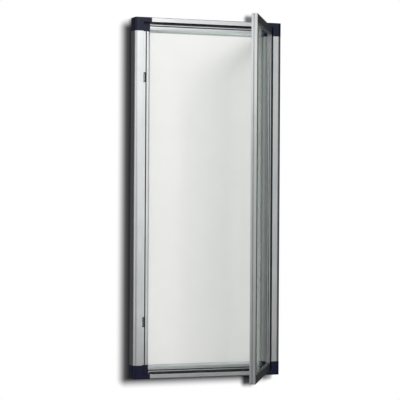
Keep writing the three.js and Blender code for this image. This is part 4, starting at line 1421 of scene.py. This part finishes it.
@dataclass
class Studio:
    """Plain pale surroundings: a wall with a soft shadow beside the case, a floor, lights and a world.

    What the eye sees of them, what a mirror shows of them and what they give as light are set apart.
    A glow gives the direction's component where it starts and where it is full, and its strength. The
    front glow also fades out to the right, and is gone and full where front_glow_end says. A shadow of
    the case gives its share of the whole cast, its blur in millimetres and its tone.
    """

    wall_gap: float = 0.5
    wall_half_width: float = 0.95
    wall_top: float = 0.55
    floor_level: float = -1.3
    floor_reach: float = 4.0
    hole_inset: float = 6.0
    cast_left: float = 24.0
    cast_down: float = 14.0
    case_shadows: tuple[tuple[float, float, str], ...] = ((1.0, 30.0, "#4b4b4e"), (0.25, 12.0, "#9a9a9c"))
    door_shadows: tuple[Shadow, ...] = (
        Shadow(128.0, 478.0, 15.0, 16.0, 15.0, "#747476"),
        Shadow(128.0, -484.0, 17.0, 21.0, 18.0, "#4a4a4c"),
        Shadow(186.0, -483.0, 12.0, 7.0, 12.0, "#b0b0b2"),
    )
    floor_glow: float = 1.08
    front_glow: tuple[float, float, float] = (-0.2, -0.9, 0.55)
    left_glow: tuple[float, float, float] = (-0.5, -0.95, 1.3)
    rear_glow: tuple[float, float, float] = (0.2, 0.9, 0.6)
    front_glow_end: tuple[float, float] = (0.6, 0.28)
    low_glow: float = 0.08
    wall_tone: str = "#e6e6e6"
    left_mirrored: str = "#5a5a5a"
    right_mirrored: str = "#363636"
    floor_mirrored: str = "#6a6a6a"
    softboxes: tuple[Softbox, ...] = (
        Softbox("key_softbox", 0.5, 29.0, 4.1, 1.5, 1.3, 11.3),
        Softbox("low_softbox", 0.5, 12.0, 4.1, 1.5, 1.3, 1.06),
        Softbox("front_softbox", 18.0, 5.0, 3.5, 0.8, 2.2, 1.2),
        Softbox("left_softbox", -30.0, 18.7, 1.4, 0.4, 0.4, 0.96),
        Softbox("rear_softbox", 160.0, 15.0, 2.8, 1.4, 1.4, 5.0),
    )

    def __post_init__(self) -> None:
        """Finds the middle of the case's front and half its width and height."""
        low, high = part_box("corner_cap_bottom_left")[0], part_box("corner_cap_top_right")[1]
        self.middle = Vector(((low.x + high.x) / 2, 0, (low.z + high.z) / 2))
        self.half = Vector(((high.x - low.x) / 2, 0, (high.z - low.z) / 2))

    def build(self) -> None:
        """Makes the stage, the lights, the world and the camera."""
        self.wall()
        self.floor()
        self.world()
        for softbox in self.softboxes:
            softbox.build(self.middle)
        Viewpoint().build(self.middle)
        bpy.context.scene.view_settings.view_transform = "Standard"

    def stage(self, name: str, shape: Solid, material: bpy.types.Material) -> None:
        """Puts a piece of the surroundings into the scene.

        Args:
            name: The piece's name.
            shape: Its faces.
            material: Its material.
        """
        piece = put(name, to_mesh(name, shape))
        piece.data.materials.append(material)

    def wall(self) -> None:
        """Makes the wall as a ring about the case, open behind it, so that the back can be seen and lit."""
        y, inset = self.wall_gap * MM, self.hole_inset * MM
        heights = {-1: self.floor_level, 1: self.wall_top}
        x_in, z_in = self.half.x - inset, self.half.z - inset
        made = bmesh.new()
        outside = [made.verts.new((x * self.wall_half_width, y, heights[z])) for x, z in AROUND]
        inside = [made.verts.new(self.middle + Vector((x * x_in, y, z * z_in))) for x, z in AROUND]
        for i, after in enumerate((1, 2, 3, 0)):
            made.faces.new((outside[i], outside[after], inside[after], inside[i]))
        self.stage("wall", made, self.wall_material())

    def to_each_ray(self, tree: Tree, shown: Node, mirrored: Node, lit: Node) -> Node:
        """Adds the choice of what the eye, a mirror and everything else gets from a surface.

        Args:
            tree: The surface's tree.
            shown: What the eye gets, straight or through glass.
            mirrored: What a shiny surface mirrors.
            lit: What all other rays meet.

        Returns:
            The shader.
        """
        direct = either_ray(tree, "Is Camera Ray", "Is Transmission Ray")
        rays = add_node(tree, "ShaderNodeLightPath")
        glossy = socket_of(rays.outputs, "Is Glossy Ray")
        unseen = add_node(tree, "ShaderNodeMixShader", {0: glossy, 1: lit, 2: mirrored})
        return add_node(tree, "ShaderNodeMixShader", {0: direct, 1: unseen, 2: shown})

    def shadows(self) -> list[Shadow]:
        """Lists the shadows: the wide one of the case, the dark one close to it and those of the door.

        Returns:
            The shadows.
        """
        left, down, size = self.cast_left, self.cast_down, (self.half.x / MM, self.half.z / MM)
        cast = [Shadow(-left * near, -down * near, *size, *fade) for near, *fade in self.case_shadows]
        return [*cast, *self.door_shadows]

    def wall_material(self) -> bpy.types.Material:
        """Makes the wall's paint: white to the eye, with the drawn shadows, and pale to the light.

        Seen from behind it isn't there, so that the back of the case shows.

        Returns:
            The material.
        """
        made = bpy.data.materials.new("painted_wall")
        tree = blank_tree(made)
        tones = [shadow.shade(tree, self.middle) for shadow in self.shadows()]
        tone = tones[0]
        for part in tones[1:]:
            mix = {"Factor_Float": 1.0, "A_Color": tone, "B_Color": part}
            tone = add_node(tree, "ShaderNodeMix", mix, data_type="RGBA", blend_type="MULTIPLY")
        shown = add_node(tree, "ShaderNodeEmission", {"Color": tone, "Strength": 1.0})
        lit = add_node(tree, "ShaderNodeBsdfDiffuse", {"Color": linear(self.wall_tone)})
        side = add_node(tree, "ShaderNodeNewGeometry").outputs
        across = add_node(tree, "ShaderNodeSeparateXYZ", {"Vector": socket_of(side, "Position")})
        width = {"Value": socket_of(across.outputs, "X"), "From Min": -self.half.x, "From Max": self.half.x}
        mix = {
            "Factor_Float": add_node(tree, "ShaderNodeMapRange", width),
            "A_Color": linear(self.left_mirrored),
            "B_Color": linear(self.right_mirrored),
        }
        dimmed = add_node(tree, "ShaderNodeMix", mix, data_type="RGBA")
        mirrored = add_node(tree, "ShaderNodeEmission", {"Color": dimmed, "Strength": 1.0})
        front = self.to_each_ray(tree, shown, mirrored, lit)
        rays = add_node(tree, "ShaderNodeLightPath")
        seen_back = {0: socket_of(rays.outputs, "Is Camera Ray"), 1: socket_of(side, "Backfacing")}
        behind = add_node(tree, "ShaderNodeMath", seen_back, operation="MULTIPLY")
        gone = add_node(tree, "ShaderNodeBsdfTransparent")
        whole = add_node(tree, "ShaderNodeMixShader", {0: behind, 1: front, 2: gone})
        add_node(tree, "ShaderNodeOutputMaterial", {"Surface": whole})
        return made

    def floor(self) -> None:
        """Makes the pale floor, which keeps the shadow of the case."""
        made = bpy.data.materials.new("pale_floor")
        tree = blank_tree(made)
        pale = linear(self.wall_tone)
        lit = add_node(tree, "ShaderNodeBsdfDiffuse", {"Color": pale})
        glow = add_node(tree, "ShaderNodeEmission", {"Color": pale, "Strength": self.floor_glow})
        shown = add_node(tree, "ShaderNodeAddShader", {0: lit, 1: glow})
        dimmed = {"Color": linear(self.floor_mirrored), "Strength": 1.0}
        mirrored = add_node(tree, "ShaderNodeEmission", dimmed)
        front = self.to_each_ray(tree, shown, mirrored, lit)
        add_node(tree, "ShaderNodeOutputMaterial", {"Surface": front})
        reach = self.floor_reach
        shape = bmesh.new()
        shape.faces.new([shape.verts.new((x * reach, y * reach, self.floor_level)) for x, y in AROUND])
        self.stage("floor", shape, made)

    def world(self) -> None:
        """Makes the surroundings: white to the eye, and a room with a bright front to the surfaces."""
        world = bpy.data.worlds.new("studio")
        bpy.context.scene.world = world
        tree = blank_tree(world)
        place = add_node(tree, "ShaderNodeTexCoord")
        toward = {"Vector": socket_of(place.outputs, "Generated")}
        parts = add_node(tree, "ShaderNodeSeparateXYZ", toward).outputs
        glows = []
        for axis, (edge, core, glow) in (
            ("Y", self.front_glow),
            ("X", self.left_glow),
            ("Y", self.rear_glow),
            ("X", (*self.front_glow_end, 1.0)),
        ):
            value = socket_of(parts, axis)
            inputs = {"Value": value, "From Min": edge, "From Max": core, "To Max": glow}
            glows.append(add_node(tree, "ShaderNodeMapRange", inputs, interpolation_type="SMOOTHSTEP"))
        ahead, left, rear, leftward = glows
        total = add_node(tree, "ShaderNodeMath", {0: ahead, 1: leftward}, operation="MULTIPLY")
        for glow in (self.low_glow, left, rear):
            total = add_node(tree, "ShaderNodeMath", {0: total, 1: glow}, operation="ADD")
        room = add_node(tree, "ShaderNodeCombineColor", {"Red": total, "Green": total, "Blue": total})
        direct = either_ray(tree, "Is Camera Ray", "Is Transmission Ray")
        mix = {"Factor_Float": direct, "A_Color": room, "B_Color": WHITE}
        tone = add_node(tree, "ShaderNodeMix", mix, data_type="RGBA")
        surface = add_node(tree, "ShaderNodeBackground", {"Color": tone})
        add_node(tree, "ShaderNodeOutputWorld", {"Surface": surface})


def main() -> None:
    """Builds the studio and then the notice board, sub-assembly by sub-assembly."""
    logging.basicConfig(level=logging.INFO, format="%(name)s %(message)s")
    Studio().build()
    bars, screws = extruded_bar_tree(), screw_tree()
    Case().build(bars)
    Corners().build(screws)
    Door().build(bars)
    Lock().build()


if __name__ == "__main__":
    main()
